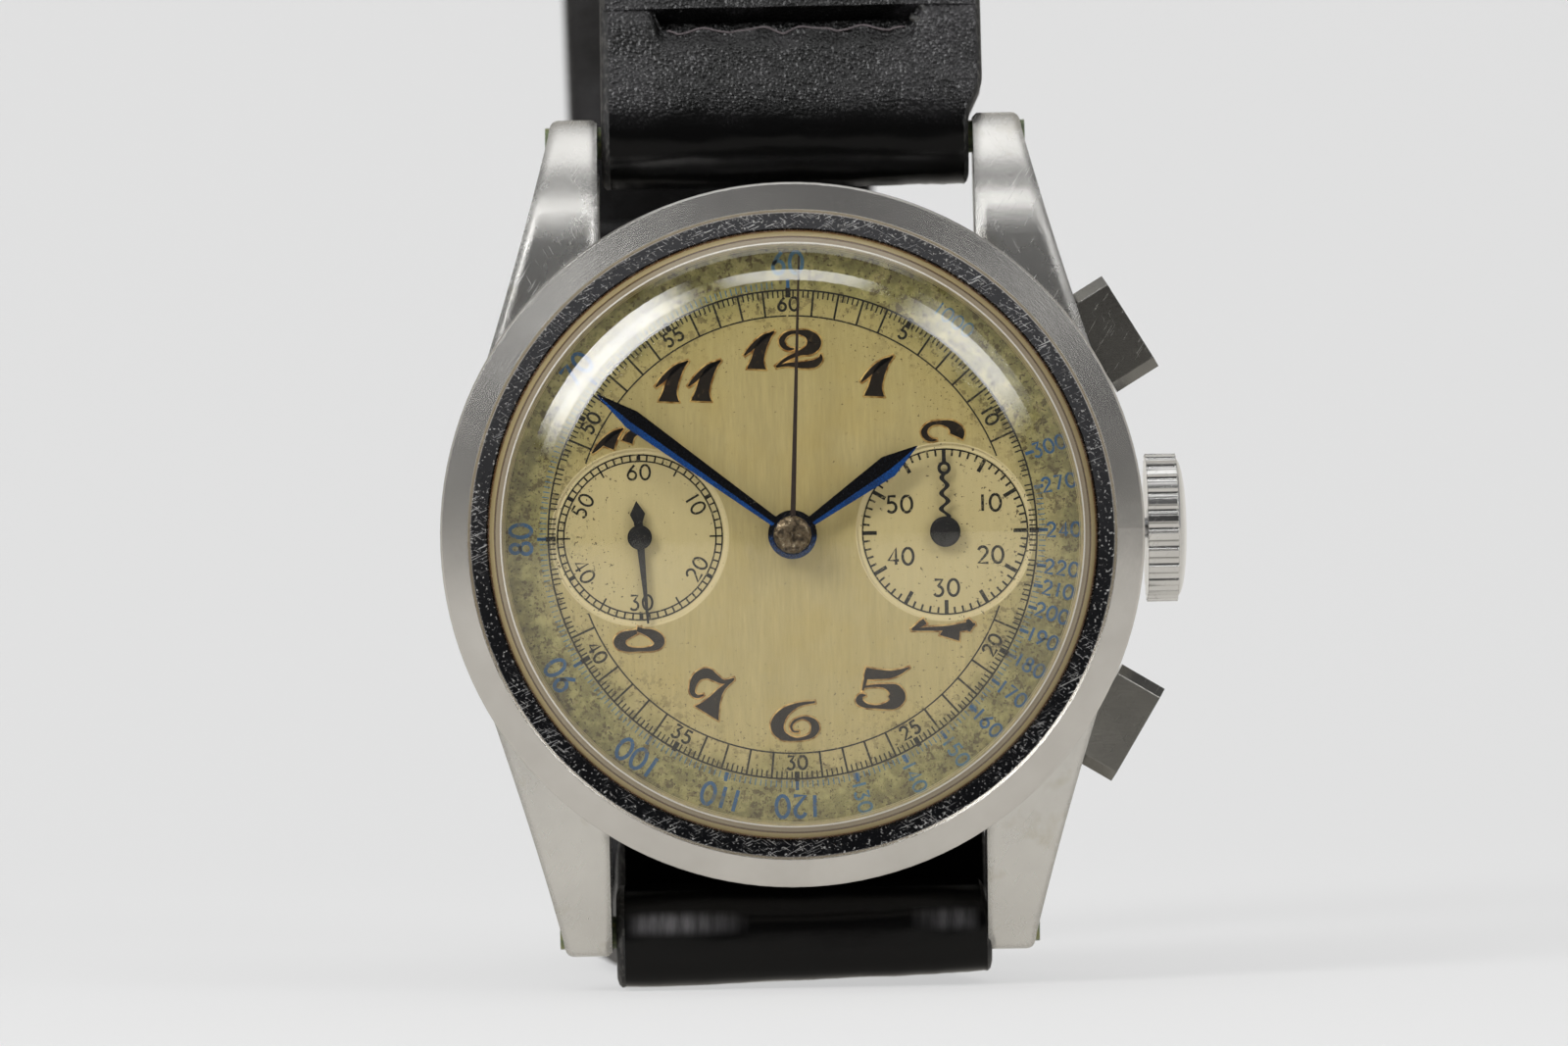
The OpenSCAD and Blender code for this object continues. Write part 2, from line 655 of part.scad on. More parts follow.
module pallet_fork() {
    fork_dir = direction(pallet, balance);
    color("silver") upright() at(pallet) rotate(fork_dir) {
        slab(3.84, 3.98) {
            circle(r = 0.35);
            bar2d([0, 0], [3.05, 0], 0.26);
            translate([3.0, 0]) difference() {
                circle(r = 0.36);
                translate([0.1, -0.13]) square([1, 0.26]);
            }
            for (s = [-1, 1]) bar2d([0, 0], [-0.7, s * 1.6], 0.28);
        }
        for (s = [-1, 1]) translate([-0.9, s * 1.72, 3.82]) rotate(s * -25)
            translate([-0.2, -0.12, 0]) cube([0.5, 0.24, 0.18]);
        disc(0.11, 3.72, 5.6);
    }
}
module balance_wheel() {
    rim = 4.2;
    color("gold") upright() at(balance) {
        ring(rim, rim - 0.4, 3.15, 3.6);
        slab(3.25, 3.5) for (a = [20, 110]) rotate(a)
            translate([-rim + 0.2, -0.22]) square([2 * rim - 0.4, 0.44]);
        for (i = [0:15]) rotate(i * 22.5 + 8)
            translate([rim - 0.05, 0, 3.375]) along_x() cylinder(r = 0.16, h = 0.2);
        disc(0.5, 3.1, 3.61);
        disc(0.72, 3.6, 3.74);
        rotate(direction(balance, pallet)) translate([0.54, -0.07, 3.7]) cube([0.14, 0.14, 0.28]);
        disc(0.11, 2.0, 5.65);
    }
}
module balance_spring() {
    color("slateblue") upright() at(balance) {
        slab(2.72, 2.84) spiral_strip(0.45, 2.6, 8, 24, 0.07);
        ring(0.46, 0.11, 2.7, 2.95);
    }
}

// ---------- motion work ----------
module cannon_pinion() {
    color("gray") upright() difference() {
        union() {
            gear(cannon_leaves, m_motion, 6.05, 6.38);
            disc(0.42, 6.3, 8.72);
        }
        disc(0.28, 0, 9);
    }
}
module minute_wheel() {
    color("gold") upright() at(minute_arbor) {
        wheel(minute_teeth, m_motion, 6.08, 6.28, minute_turn, 0.5, 3);
        gear(minute_leaves, m_motion, 6.28, 6.74, minute_turn);
        disc(0.15, 5.6, 6.1);
    }
}
module hour_wheel() {
    color("gold") upright() difference() {
        union() {
            gear(hour_teeth, m_motion, 6.45, 6.65, hour_turn);
            disc(0.6, 6.45, 8.3);
        }
        disc(0.45, 0, 9);
    }
}

// ---------- chronograph work ----------
module heart() {
    polygon([for (i = [0:35]) let (a = i * 10 - 180, r = 0.45 + 0.6 * abs(a) / 180) r * [cos(a), sin(a)]]);
}
module chronograph_runner() {
    color("gold") upright() {
        wheel(chrono_teeth, m_chrono, chrono_z, chrono_z + 0.15, 0, 0.6);
        slab(cam_z, cam_z + 0.25) heart();
        disc(0.35, 1.9, 3.0);
        disc(0.14, 1.15, 9.2);
    }
}
module minute_recorder() {
    color("gold") upright() at(recorder) {
        wheel(minute_recorder_teeth, 0.085, chrono_z, chrono_z + 0.15, 0, 0.6);
        slab(cam_z, cam_z + 0.25) heart();
        disc(0.35, 1.9, 2.6);
        disc(0.2, 2.5, 7.0);
        disc(0.13, 1.15, 7.6);
    }
}
module coupling_lever() {
    color("silver") upright() slab(1.7, 1.95) difference() {
        union() {
            bar2d(fourth, coupling, 0.9);
            bar2d(coupling, coupling + [-0.9, 3.6], 0.7);
        }
        translate(fourth) circle(r = 0.22);
        translate(coupling) circle(r = 0.16);
    }
}
module coupling_wheel() {
    color("gold") upright() at(coupling) {
        wheel(coupling_teeth, m_chrono, chrono_z, chrono_z + 0.15, coupling_turn, 0.4, 3);
        disc(0.14, 1.65, chrono_z + 0.2);
    }
}
module column_wheel() {
    pillars = 6;
    color("silver") upright() at(column) {
        difference() {
            union() {
                gear(18, 0.16, 2.6, 2.85);
                disc(0.5, 1.5, 2.7);
            }
            disc(stud_r + 0.02, 0, 4);
        }
        for (i = [0:pillars - 1]) rotate(i * 360 / pillars) intersection() {
            ring(1.3, 0.75, 1.6, 2.62);
            slab(1, 3) polygon([[0, 0], [2, -0.62], [2, 0.62]]);
        }
    }
}
// The lever that the start pusher tips, and the two-headed hammer that the reset pusher tips. Each has a tab
// bent down through a window in the bridge to meet its pusher.
tab_r = 12.1; // distance of the tabs from the watch's axis
function tab_at(angle) = tab_r * [cos(angle), sin(angle)];
module tab(angle, z) {
    rotate(angle) translate([tab_r - 0.25, -0.6, z]) cube([0.5, 1.2, stem_z + 0.4 - z]);
}
module operating_lever() {
    color("silver") upright() {
        difference() {
            slab(2.3, 2.55) {
                bar2d(operating_pivot, tab_at(pusher_angle), 0.8);
                bar2d(tab_at(pusher_angle), column + [1.75, -1.2], 0.6);
            }
            at(operating_pivot) disc(0.24, 0, 4);
        }
        tab(pusher_angle, 2.3);
    }
}
hammer_heads = [[2.35, 0.15], [register_x + 2.35, 0.15]];
module reset_hammer() {
    color("silver") upright() {
        difference() {
            slab(cam_z, cam_z + 0.25) {
                for (h = hammer_heads) {
                    bar2d(hammer_pivot, h - [0, 1.2], 0.8);
                    translate(h - [0.35, 1.3]) square([0.7, 2.3]);
                }
                bar2d(hammer_pivot, tab_at(-pusher_angle), 0.8);
            }
            at(hammer_pivot) disc(0.24, 0, 4);
        }
        tab(-pusher_angle, cam_z);
    }
}
module click() {
    tip = barrel + 4.1 * [cos(104), sin(104)];
    color("silver") upright() difference() {
        slab(ratchet_z, ratchet_z + 0.25) {
            bar2d(click_pivot, tip, 0.5);
            translate(click_pivot) circle(r = 0.55);
        }
        at(click_pivot) disc(0.24, 0, 4);
    }
}

// ---------- strap: the side profile of a folded band, swept across its width ----------
leather_t = 1.5; // one layer of the folded end
fold_r = bar_r + 0.06; // inside radius of the fold round a bar
flap_len = 5.9; // from the bar's axis to the cut end of the flap
bar_row_y = -bar_z;
back_y = bar_row_y + 2 * loop_r; // the straight back of the loop
floor_z = -bar_y - fold_r - leather_t; // the face the watch stands on
heel_r = 10;
glue_gap = 0.03;
buckle_z = 0;
layer_shift = 2.4; // how far the tail steps out to pass over the buckle end
tail_tip = 30; // degrees of the upper bend that the tail covers
function drift_at(y) = -drift * ease(y / back_y);
function half_width(s, total) = (strap_w - (strap_w - strap_end_w) * ease(s / total)) / 2;
// A station is [y, z, normal angle, thickness along the normal, thickness against it, half width]
function station_point(s, side, x) = let (t = side > 0 ? s[3] : -s[4])
    [x * s[5] + drift_at(s[0]), s[0] + t * cos(s[2]), s[1] + t * sin(s[2])];
module band(stations) {
    n = len(stations);
    corners = [[1, 1], [1, -1], [-1, -1], [-1, 1]];
    points = [for (s = stations, c = corners) station_point(s, c[0], c[1])];
    faces = concat(
        [for (i = [0:n - 2], k = [0:3]) let (a = 4 * i + k, b = 4 * i + (k + 1) % 4) [a, a + 4, b]],
        [for (i = [0:n - 2], k = [0:3]) let (a = 4 * i + k, b = 4 * i + (k + 1) % 4) [b, a + 4, b + 4]],
        [[0, 1, 2], [0, 2, 3]],
        [[4 * n - 4, 4 * n - 2, 4 * n - 3], [4 * n - 4, 4 * n - 1, 4 * n - 2]]);
    polyhedron(points = points, faces = faces);
}
function reversed(list) = [for (i = [len(list) - 1:-1:0]) list[i]];
function parting(s) = glue_gap + (fold_r - glue_gap) * (1 - ease(s / 3.6));
function deg(s, r) = s / r * 180 / PI;
fold_steps = 6;
wrap_steps = 10;
bend_steps = 26;

// Buckle side: a flap up the front, a turn under the bar, then up and over to the back of the loop
function top_glue(a) = [bar_row_y + loop_r - loop_r * cos(a), bar_y + loop_r * sin(a)];
function top_station(a, side, off, t_in, t_out, w) = let (p = top_glue(a), n = side > 0 ? 180 - a : -a)
    [p[0] + off * cos(n), p[1] + off * sin(n), n, t_out, t_in, w];
function pad(s, total) = 1.5 - 0.4 * ease(s / total); // half thickness of the padded band
buckle_side_len = PI * loop_r + bar_y;
function buckle_side_stations() = concat(
    [for (i = [0:fold_steps]) let (s = flap_len * (1 - i / fold_steps))
        top_station(deg(s, loop_r), 1, parting(s), 0, leather_t, strap_w / 2)],
    [for (i = [1:wrap_steps - 1]) let (a = 180 + 180 * i / wrap_steps)
        [bar_row_y + fold_r * cos(a), bar_y + fold_r * sin(a), a, leather_t, 0, strap_w / 2]],
    [for (i = [0:fold_steps]) let (s = (flap_len + 0.1) * i / fold_steps)
        top_station(deg(s, loop_r), -1, parting(s), 0, leather_t, strap_w / 2)],
    [for (i = [0:bend_steps]) let (a0 = deg(flap_len + 0.35, loop_r), a = a0 + (180 - a0) * i / bend_steps,
        s = a / 180 * PI * loop_r, t = pad(s, buckle_side_len))
        top_station(a, -1, 0, t, t, half_width(s, buckle_side_len))],
    [for (i = [1:4]) let (z = bar_y - (bar_y - buckle_z - 1.6) * i / 4, s = buckle_side_len - z,
        t = pad(s, buckle_side_len))
        [back_y, z, 180, t, t, half_width(s, buckle_side_len)]]);
module strap_buckle_side() {
    color([0.09, 0.09, 0.1]) difference() {
        union() {
            band(buckle_side_stations());
            translate([-drift - strap_end_w / 2, back_y, buckle_z]) along_x() difference() {
                cylinder(r = 1.25, h = strap_end_w);
                translate([0, 0, -1]) cylinder(r = 0.62, h = strap_end_w + 2);
            }
            translate([-drift - strap_end_w / 2, back_y - 1.1, buckle_z + 0.9]) cube([strap_end_w, 2.2, 1.2]);
        }
        translate([-drift - 1.2, back_y - 2, buckle_z - 2]) cube([2.4, 4, 4.6]);
    }
}

// Tail side: a flap along the floor, a turn round the lower bar, back along the floor, up behind the head,
// out through the buckle, through both keepers and on to the outside of the upper bend
base_z = floor_z + leather_t + glue_gap;
tail_taper = back_y - bar_row_y - heel_r + PI / 2 * heel_r; // the tail is down to the buckle's width here
tail_z0 = base_z + heel_r;
function tail_y(z) = back_y + layer_shift * ease((z - tail_z0 - 1) / (buckle_z - 1.4 - tail_z0 - 1));
function tail_slope(z) = atan2(tail_y(z + 0.2) - tail_y(z - 0.2), 0.4);
// The watch's weight squares the underside of the lower fold, which widens the foot it stands on
foot_squareness = 4; // exponent of the fold's section: 2 is round
function pressed(a) = a < 180 ? 0 : (fold_r + leather_t)
    * (pow(pow(abs(cos(a)), foot_squareness) + pow(abs(sin(a)), foot_squareness), -1 / foot_squareness) - 1);
function tail_stations() = concat(
    [for (i = [0:fold_steps]) let (s = flap_len * (1 - i / fold_steps))
        [bar_row_y + s, floor_z + leather_t, 270, leather_t, 0, strap_w / 2]],
    [for (i = [1:wrap_steps - 1]) let (a = 270 - 180 * i / wrap_steps)
        [bar_row_y + fold_r * cos(a), -bar_y + fold_r * sin(a), a, leather_t + pressed(a), 0, strap_w / 2]],
    [for (i = [0:fold_steps]) let (s = (flap_len + 0.1) * i / fold_steps)
        [bar_row_y + s, floor_z + leather_t + 2 * parting(s), 90, leather_t, 0, strap_w / 2]],
    [for (i = [0:8]) let (y0 = bar_row_y + flap_len + 0.35, y = y0 + (back_y - heel_r - y0) * i / 8)
        [y, base_z, 90, leather_t, leather_t + glue_gap - 0.02, half_width(y - bar_row_y, tail_taper)]],
    [for (i = [1:12]) let (a = 90 * i / 12, s = back_y - bar_row_y - heel_r + heel_r * a * PI / 180,
        t = leather_t - 0.4 * ease(i / 12))
        [back_y - heel_r + heel_r * sin(a), base_z + heel_r - heel_r * cos(a), 90 + a, t, t,
            half_width(s, tail_taper)]],
    [for (i = [1:14]) let (z = tail_z0 + (bar_y - tail_z0) * i / 14)
        [tail_y(z), z, 180 - tail_slope(z), 1.1, 1.1, strap_end_w / 2]],
    [for (i = [1:12]) let (a = tail_tip * i / 12, r = loop_r + layer_shift + 0.35 * ease(i / 8),
        c = [bar_row_y + loop_r, bar_y], tip = i > 8 ? sqrt(max(0.03, 1 - pow((i - 8) / 4.05, 2))) : 1)
        [c[0] + r * cos(a), c[1] + r * sin(a), 180 + a, 1.1, 1.1, strap_end_w / 2 * tip]]);
hole_pitch = 6.2;
hole_r = 0.95;
first_hole_z = -4.4; // the hole the tongue is in, worn into a slot
slot_below = 1.8;
slot_above = 2.9;
module strap_tail_side() {
    color([0.09, 0.09, 0.1]) difference() {
        band(reversed(tail_stations()));
        for (i = [0:4]) translate([-drift, back_y - 4, first_hole_z + i * hole_pitch])
            rotate([-90, 0, 0]) cylinder(r = hole_r, h = 9);
        translate([-drift - hole_r, back_y - 4, first_hole_z - slot_below])
            cube([2 * hole_r, 9, slot_below + slot_above]);
    }
}

// A leather loop round both layers of the strap
module keeper(z, h, t) {
    w = strap_end_w + 0.9;
    y0 = back_y - 1.35;
    depth = 2.2 + layer_shift + 0.55;
    color([0.12, 0.12, 0.13]) translate([-drift, y0, z]) difference() {
        translate([-w / 2 - t, -t, 0]) cube([w + 2 * t, depth + 2 * t, h]);
        translate([-w / 2, 0, -1]) cube([w, depth, h + 2]);
    }
}
module fixed_keeper() { keeper(4.2, 3.6, 0.9); }
module free_keeper() { keeper(12.6, 4.2, 0.9); }

// Buckle: the pin, the frame that swings on it, and the tongue that lies across the frame
frame_z = -8.6;
frame_rod = 0.85;
frame_half = strap_end_w / 2 + 1.1;
tongue_y = back_y + 3.5;
module buckle_bar() {
    reach = strap_end_w / 2 + 1.9;
    color("silver") translate([-drift - reach, back_y, buckle_z]) along_x() cylinder(r = 0.55, h = 2 * reach);
}
module buckle_frame() {
    rod_y = back_y + 2.7;
    lean = atan2(rod_y - back_y, buckle_z - frame_z);
    color("silver") translate([-drift, 0, 0]) {
        translate([-frame_half - frame_rod, rod_y, frame_z]) along_x()
            cylinder(r = frame_rod, h = 2 * (frame_half + frame_rod));
        for (s = [-1, 1]) translate([s * frame_half, back_y, buckle_z]) difference() {
            translate([-frame_rod, 0, 0]) union() {
                rotate([lean, 0, 0]) translate([0, -frame_rod, frame_z / cos(lean)])
                    cube([2 * frame_rod, 2 * frame_rod, -frame_z / cos(lean)]);
                along_x() cylinder(r = 1.15, h = 2 * frame_rod);
            }
            translate([-5, 0, 0]) along_x() cylinder(r = 0.57, h = 10);
        }
    }
}
module buckle_tongue() {
    color("silver") translate([-drift, 0, 0]) difference() {
        union() {
            translate([-0.8, back_y, buckle_z]) along_x() cylinder(r = 1.1, h = 1.6);
            translate([-0.6, 0, 0]) rotate([90, 0, 90]) linear_extrude(height = 1.2)
                polygon([[back_y - 0.5, -0.8], [back_y - 0.2, -3.4], [back_y + 1.6, -5.4],
                    [tongue_y + 0.05, -7.2], [tongue_y + 0.15, frame_z - 1.5],
                    [tongue_y + 1.1, frame_z - 1.4], [tongue_y + 1.1, -6.8],
                    [back_y + 2.4, -4.4], [back_y + 0.95, -2.6], [back_y + 0.7, -0.6]]);
        }
        translate([-2, back_y, buckle_z]) along_x() cylinder(r = 0.57, h = 4);
    }
}

case_middle();
bezel();
crystal();
reflector_ring();
case_back();
case_back_gasket();
movement_ring();
case_tubes();
lug_bars();
crown();
winding_stem();
start_pusher();
reset_pusher();
start_pusher_spring();
reset_pusher_spring();
dial();
hour_hand();
minute_hand();
chrono_seconds_hand();
running_seconds_hand();
minute_counter_hand();
main_plate();
barrel_bridge();
train_bridge();
balance_cock();
chronograph_bridge();
bridge_screws();
jewels();
barrel_drum();
mainspring();
barrel_arbor();
ratchet_wheel();
crown_wheel();
winding_pinion();
centre_wheel();
third_wheel();
fourth_wheel();
driving_wheel();
escape_wheel();
pallet_fork();
balance_wheel();
balance_spring();
cannon_pinion();
minute_wheel();
hour_wheel();
coupling_lever();
coupling_wheel();
chronograph_runner();
minute_recorder();
column_wheel();
operating_lever();
reset_hammer();
click();
strap_buckle_side();
strap_tail_side();
fixed_keeper();
free_keeper();
buckle_frame();
buckle_tongue();
buckle_bar();
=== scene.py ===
"""Looks for the two-register chronograph wristwatch: steel case, aged champagne dial, blued hands, black
leather strap. +X points to 3 o'clock, +Z to 12 and the dial faces -Y. Lengths are metres, which MM makes of
millimetres, except in Solids, the dial's print and the strap, which are drawn in millimetres."""
import json
import math

import bpy
import numpy as np
from mathutils import Matrix, Vector, noise


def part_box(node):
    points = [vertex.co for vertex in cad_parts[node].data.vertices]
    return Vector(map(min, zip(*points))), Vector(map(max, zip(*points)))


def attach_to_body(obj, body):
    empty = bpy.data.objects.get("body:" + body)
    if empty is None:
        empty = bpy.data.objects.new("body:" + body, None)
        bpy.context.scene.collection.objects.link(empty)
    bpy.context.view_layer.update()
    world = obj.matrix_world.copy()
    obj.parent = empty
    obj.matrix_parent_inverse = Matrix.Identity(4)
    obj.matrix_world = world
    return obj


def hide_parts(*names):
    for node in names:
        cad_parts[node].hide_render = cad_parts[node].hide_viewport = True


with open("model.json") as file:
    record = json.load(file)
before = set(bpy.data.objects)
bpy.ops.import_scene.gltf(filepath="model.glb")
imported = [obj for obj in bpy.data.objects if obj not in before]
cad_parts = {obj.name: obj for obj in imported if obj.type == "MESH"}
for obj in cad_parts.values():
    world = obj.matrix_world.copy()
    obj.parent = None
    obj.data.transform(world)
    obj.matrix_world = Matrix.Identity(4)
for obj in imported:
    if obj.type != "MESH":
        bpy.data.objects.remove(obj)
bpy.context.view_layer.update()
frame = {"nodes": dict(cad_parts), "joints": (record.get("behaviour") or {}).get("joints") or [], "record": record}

MM = 0.001
TAU = 2 * math.pi


# ------------------------------------------------------------------ sizes read from the frame
def size_of(node):
    low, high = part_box(node)
    return high - low


def middle_of(node):
    low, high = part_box(node)
    return (low + high) / 2


joints = {j["name"]: j for j in frame["joints"]}
nodes = frame["nodes"]
BEZEL_R = size_of("bezel").x / 2
BEZEL_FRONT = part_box("bezel")[0].y
DIAL_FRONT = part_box("dial")[0].y
CRYSTAL_R = size_of("crystal").x / 2
STEP_R = 15.76 * MM  # outer edge of the polished step inside the bezel's cone
REGISTER_X = joints["chronograph_minutes"]["pos_m"][0]
REGISTER_DROP = 0.12 * MM
REGISTER_R = 4.33 * MM
BAR_R = size_of("lug_bars").y / 2
BAR_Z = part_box("lug_bars")[1].z - BAR_R
BAR_Y = middle_of("lug_bars").y
BACK_Y = joints["buckle_swing"]["pos_m"][1]
DRIFT = -joints["buckle_swing"]["pos_m"][0]
LOOP_R = (BACK_Y - BAR_Y) / 2
FLOOR_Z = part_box("strap_tail_side")[0].z
STRAP_W = 2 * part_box("strap_buckle_side")[1].x
STRAP_END_W = size_of("free_keeper").x - 2.7 * MM
LEATHER = 1.5 * MM  # one layer of the folded end
FOLD_R = BAR_R + 0.06 * MM


# ------------------------------------------------------------------ mesh helpers
def new_object(name, verts, faces, materials, smooth=None, face_slots=None):
    mesh = bpy.data.meshes.new(name)
    mesh.from_pydata([tuple(v) for v in verts], [], faces)
    for m in materials:
        mesh.materials.append(m)
    if face_slots is not None:
        mesh.polygons.foreach_set("material_index", face_slots)
    mesh.validate()
    obj = bpy.data.objects.new(name, mesh)
    bpy.context.scene.collection.objects.link(obj)
    if smooth is not None:
        mesh.polygons.foreach_set("use_smooth", [True] * len(mesh.polygons))
        mesh.set_sharp_from_angle(angle=math.radians(smooth))
    return obj


def attach(obj, body, slot_name, *replaced):
    """Sets obj on a body in place of CAD nodes. slot_name is not used."""
    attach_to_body(obj, body)
    if replaced:
        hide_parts(*replaced)


class Solids:
    """Collects small closed solids for one mesh, in millimetres. Plane coordinates (x, z) lie in the dial's
    plane, angles run clockwise from 12 in degrees, and each solid reaches from base to top along Y."""

    def __init__(self, base, top):
        self.base, self.top = base, top
        self.verts, self.faces, self.slots = [], [], []

    def prism(self, outline, slot=0):
        n, s = len(outline), len(self.verts)
        self.verts += [(x, y, z) for y in (self.base, self.top) for x, z in outline]
        self.faces.append([s + i for i in range(n)])
        self.faces.append([s + n + i for i in reversed(range(n))])
        self.faces += [[s + i, s + n + i, s + n + (i + 1) % n, s + (i + 1) % n] for i in range(n)]
        self.slots += [slot] * (n + 2)

    def arc(self, centre, r, width, a0=0, a1=360, step=1.0):
        """A thin ring section from angle a0 to a1."""
        full = a1 - a0 == 360
        n = max(2, int((a1 - a0) / step))
        s = len(self.verts)
        count = n if full else n + 1
        for i in range(count):
            for rr in (r - width / 2, r + width / 2):
                x, z = polar(rr, a0 + (a1 - a0) * i / n, centre)
                self.verts += [(x, self.base, z), (x, self.top, z)]
        for i in range(n):
            a, b = s + 4 * i, s + 4 * ((i + 1) % count)
            self.faces += [[a + 1, a + 3, b + 3, b + 1], [a, b, b + 2, a + 2],
                           [a, a + 1, b + 1, b], [a + 2, b + 2, b + 3, a + 3]]
        if not full:
            e = s + 4 * n
            self.faces += [[s, s + 2, s + 3, s + 1], [e, e + 1, e + 3, e + 2]]
        self.slots += [0] * (len(self.faces) - len(self.slots))

    def tick(self, centre, angle, r0, r1, width, slot=0):
        """A radial line from r0 to r1 at an angle."""
        a = math.radians(angle)
        d, t = Vector((math.sin(a), math.cos(a))), Vector((math.cos(a), -math.sin(a)))
        c = Vector(centre)
        self.prism([tuple(c + d * r + t * side * width / 2)
                    for r, side in ((r0, -1), (r1, -1), (r1, 1), (r0, 1))], slot)

    def ribbon(self, stations, bevel=0.0, top_slot=0, side_slot=0):
        """A stroke through stations (x, z, width), wider by bevel on each side at the base."""
        n, s = len(stations), len(self.verts)
        pts = [Vector(p[:2]) for p in stations]
        for i, p in enumerate(pts):
            d = (pts[min(i + 1, n - 1)] - pts[max(i - 1, 0)]).normalized()
            t = Vector((-d.y, d.x))
            end = -1 if i == 0 else 1 if i == n - 1 else 0
            for y, out in ((self.base, bevel), (self.top, 0)):
                for side in (1, -1):
                    q = p + t * (stations[i][2] / 2 + out) * side + d * end * out
                    self.verts.append((q.x, y, q.y))
        for i in range(n - 1):
            a, b = s + 4 * i, s + 4 * (i + 1)
            self.faces += [[a + 2, a + 3, b + 3, b + 2], [a, b, b + 1, a + 1],
                           [a, a + 2, b + 2, b], [a + 1, b + 1, b + 3, a + 3]]
            self.slots += [top_slot, side_slot, side_slot, side_slot]
        e = s + 4 * (n - 1)
        self.faces += [[s, s + 1, s + 3, s + 2], [e, e + 2, e + 3, e + 1]]
        self.slots += [side_slot] * 2

    def object(self, name, materials, smooth=None):
        verts = [Vector(v) * MM for v in self.verts]
        return new_object(name, verts, self.faces, materials, smooth, self.slots)

    def build(self, name, materials, smooth=None):
        attach(self.object(name, materials, smooth), "head", "dial_enamel")


def polar(r, angle, centre=(0.0, 0.0)):
    return (centre[0] + r * math.sin(math.radians(angle)), centre[1] + r * math.cos(math.radians(angle)))


def smooth_path(points, per_span=8):
    """A Catmull-Rom curve through points of any dimension, as a list of tuples."""
    p = [np.array(q, float) for q in points]
    p = [2 * p[0] - p[1]] + p + [2 * p[-1] - p[-2]]
    out = []
    for i in range(1, len(p) - 2):
        for k in range(per_span):
            t = k / per_span
            out.append(tuple(0.5 * (2 * p[i] + (p[i + 1] - p[i - 1]) * t
                                    + (2 * p[i - 1] - 5 * p[i] + 4 * p[i + 1] - p[i + 2]) * t ** 2
                                    + (3 * p[i] - p[i - 1] - 3 * p[i + 1] + p[i + 2]) * t ** 3)))
    out.append(tuple(p[-2]))
    return out


def ease(t):
    t = min(1.0, max(0.0, t))
    return t * t * (3 - 2 * t)


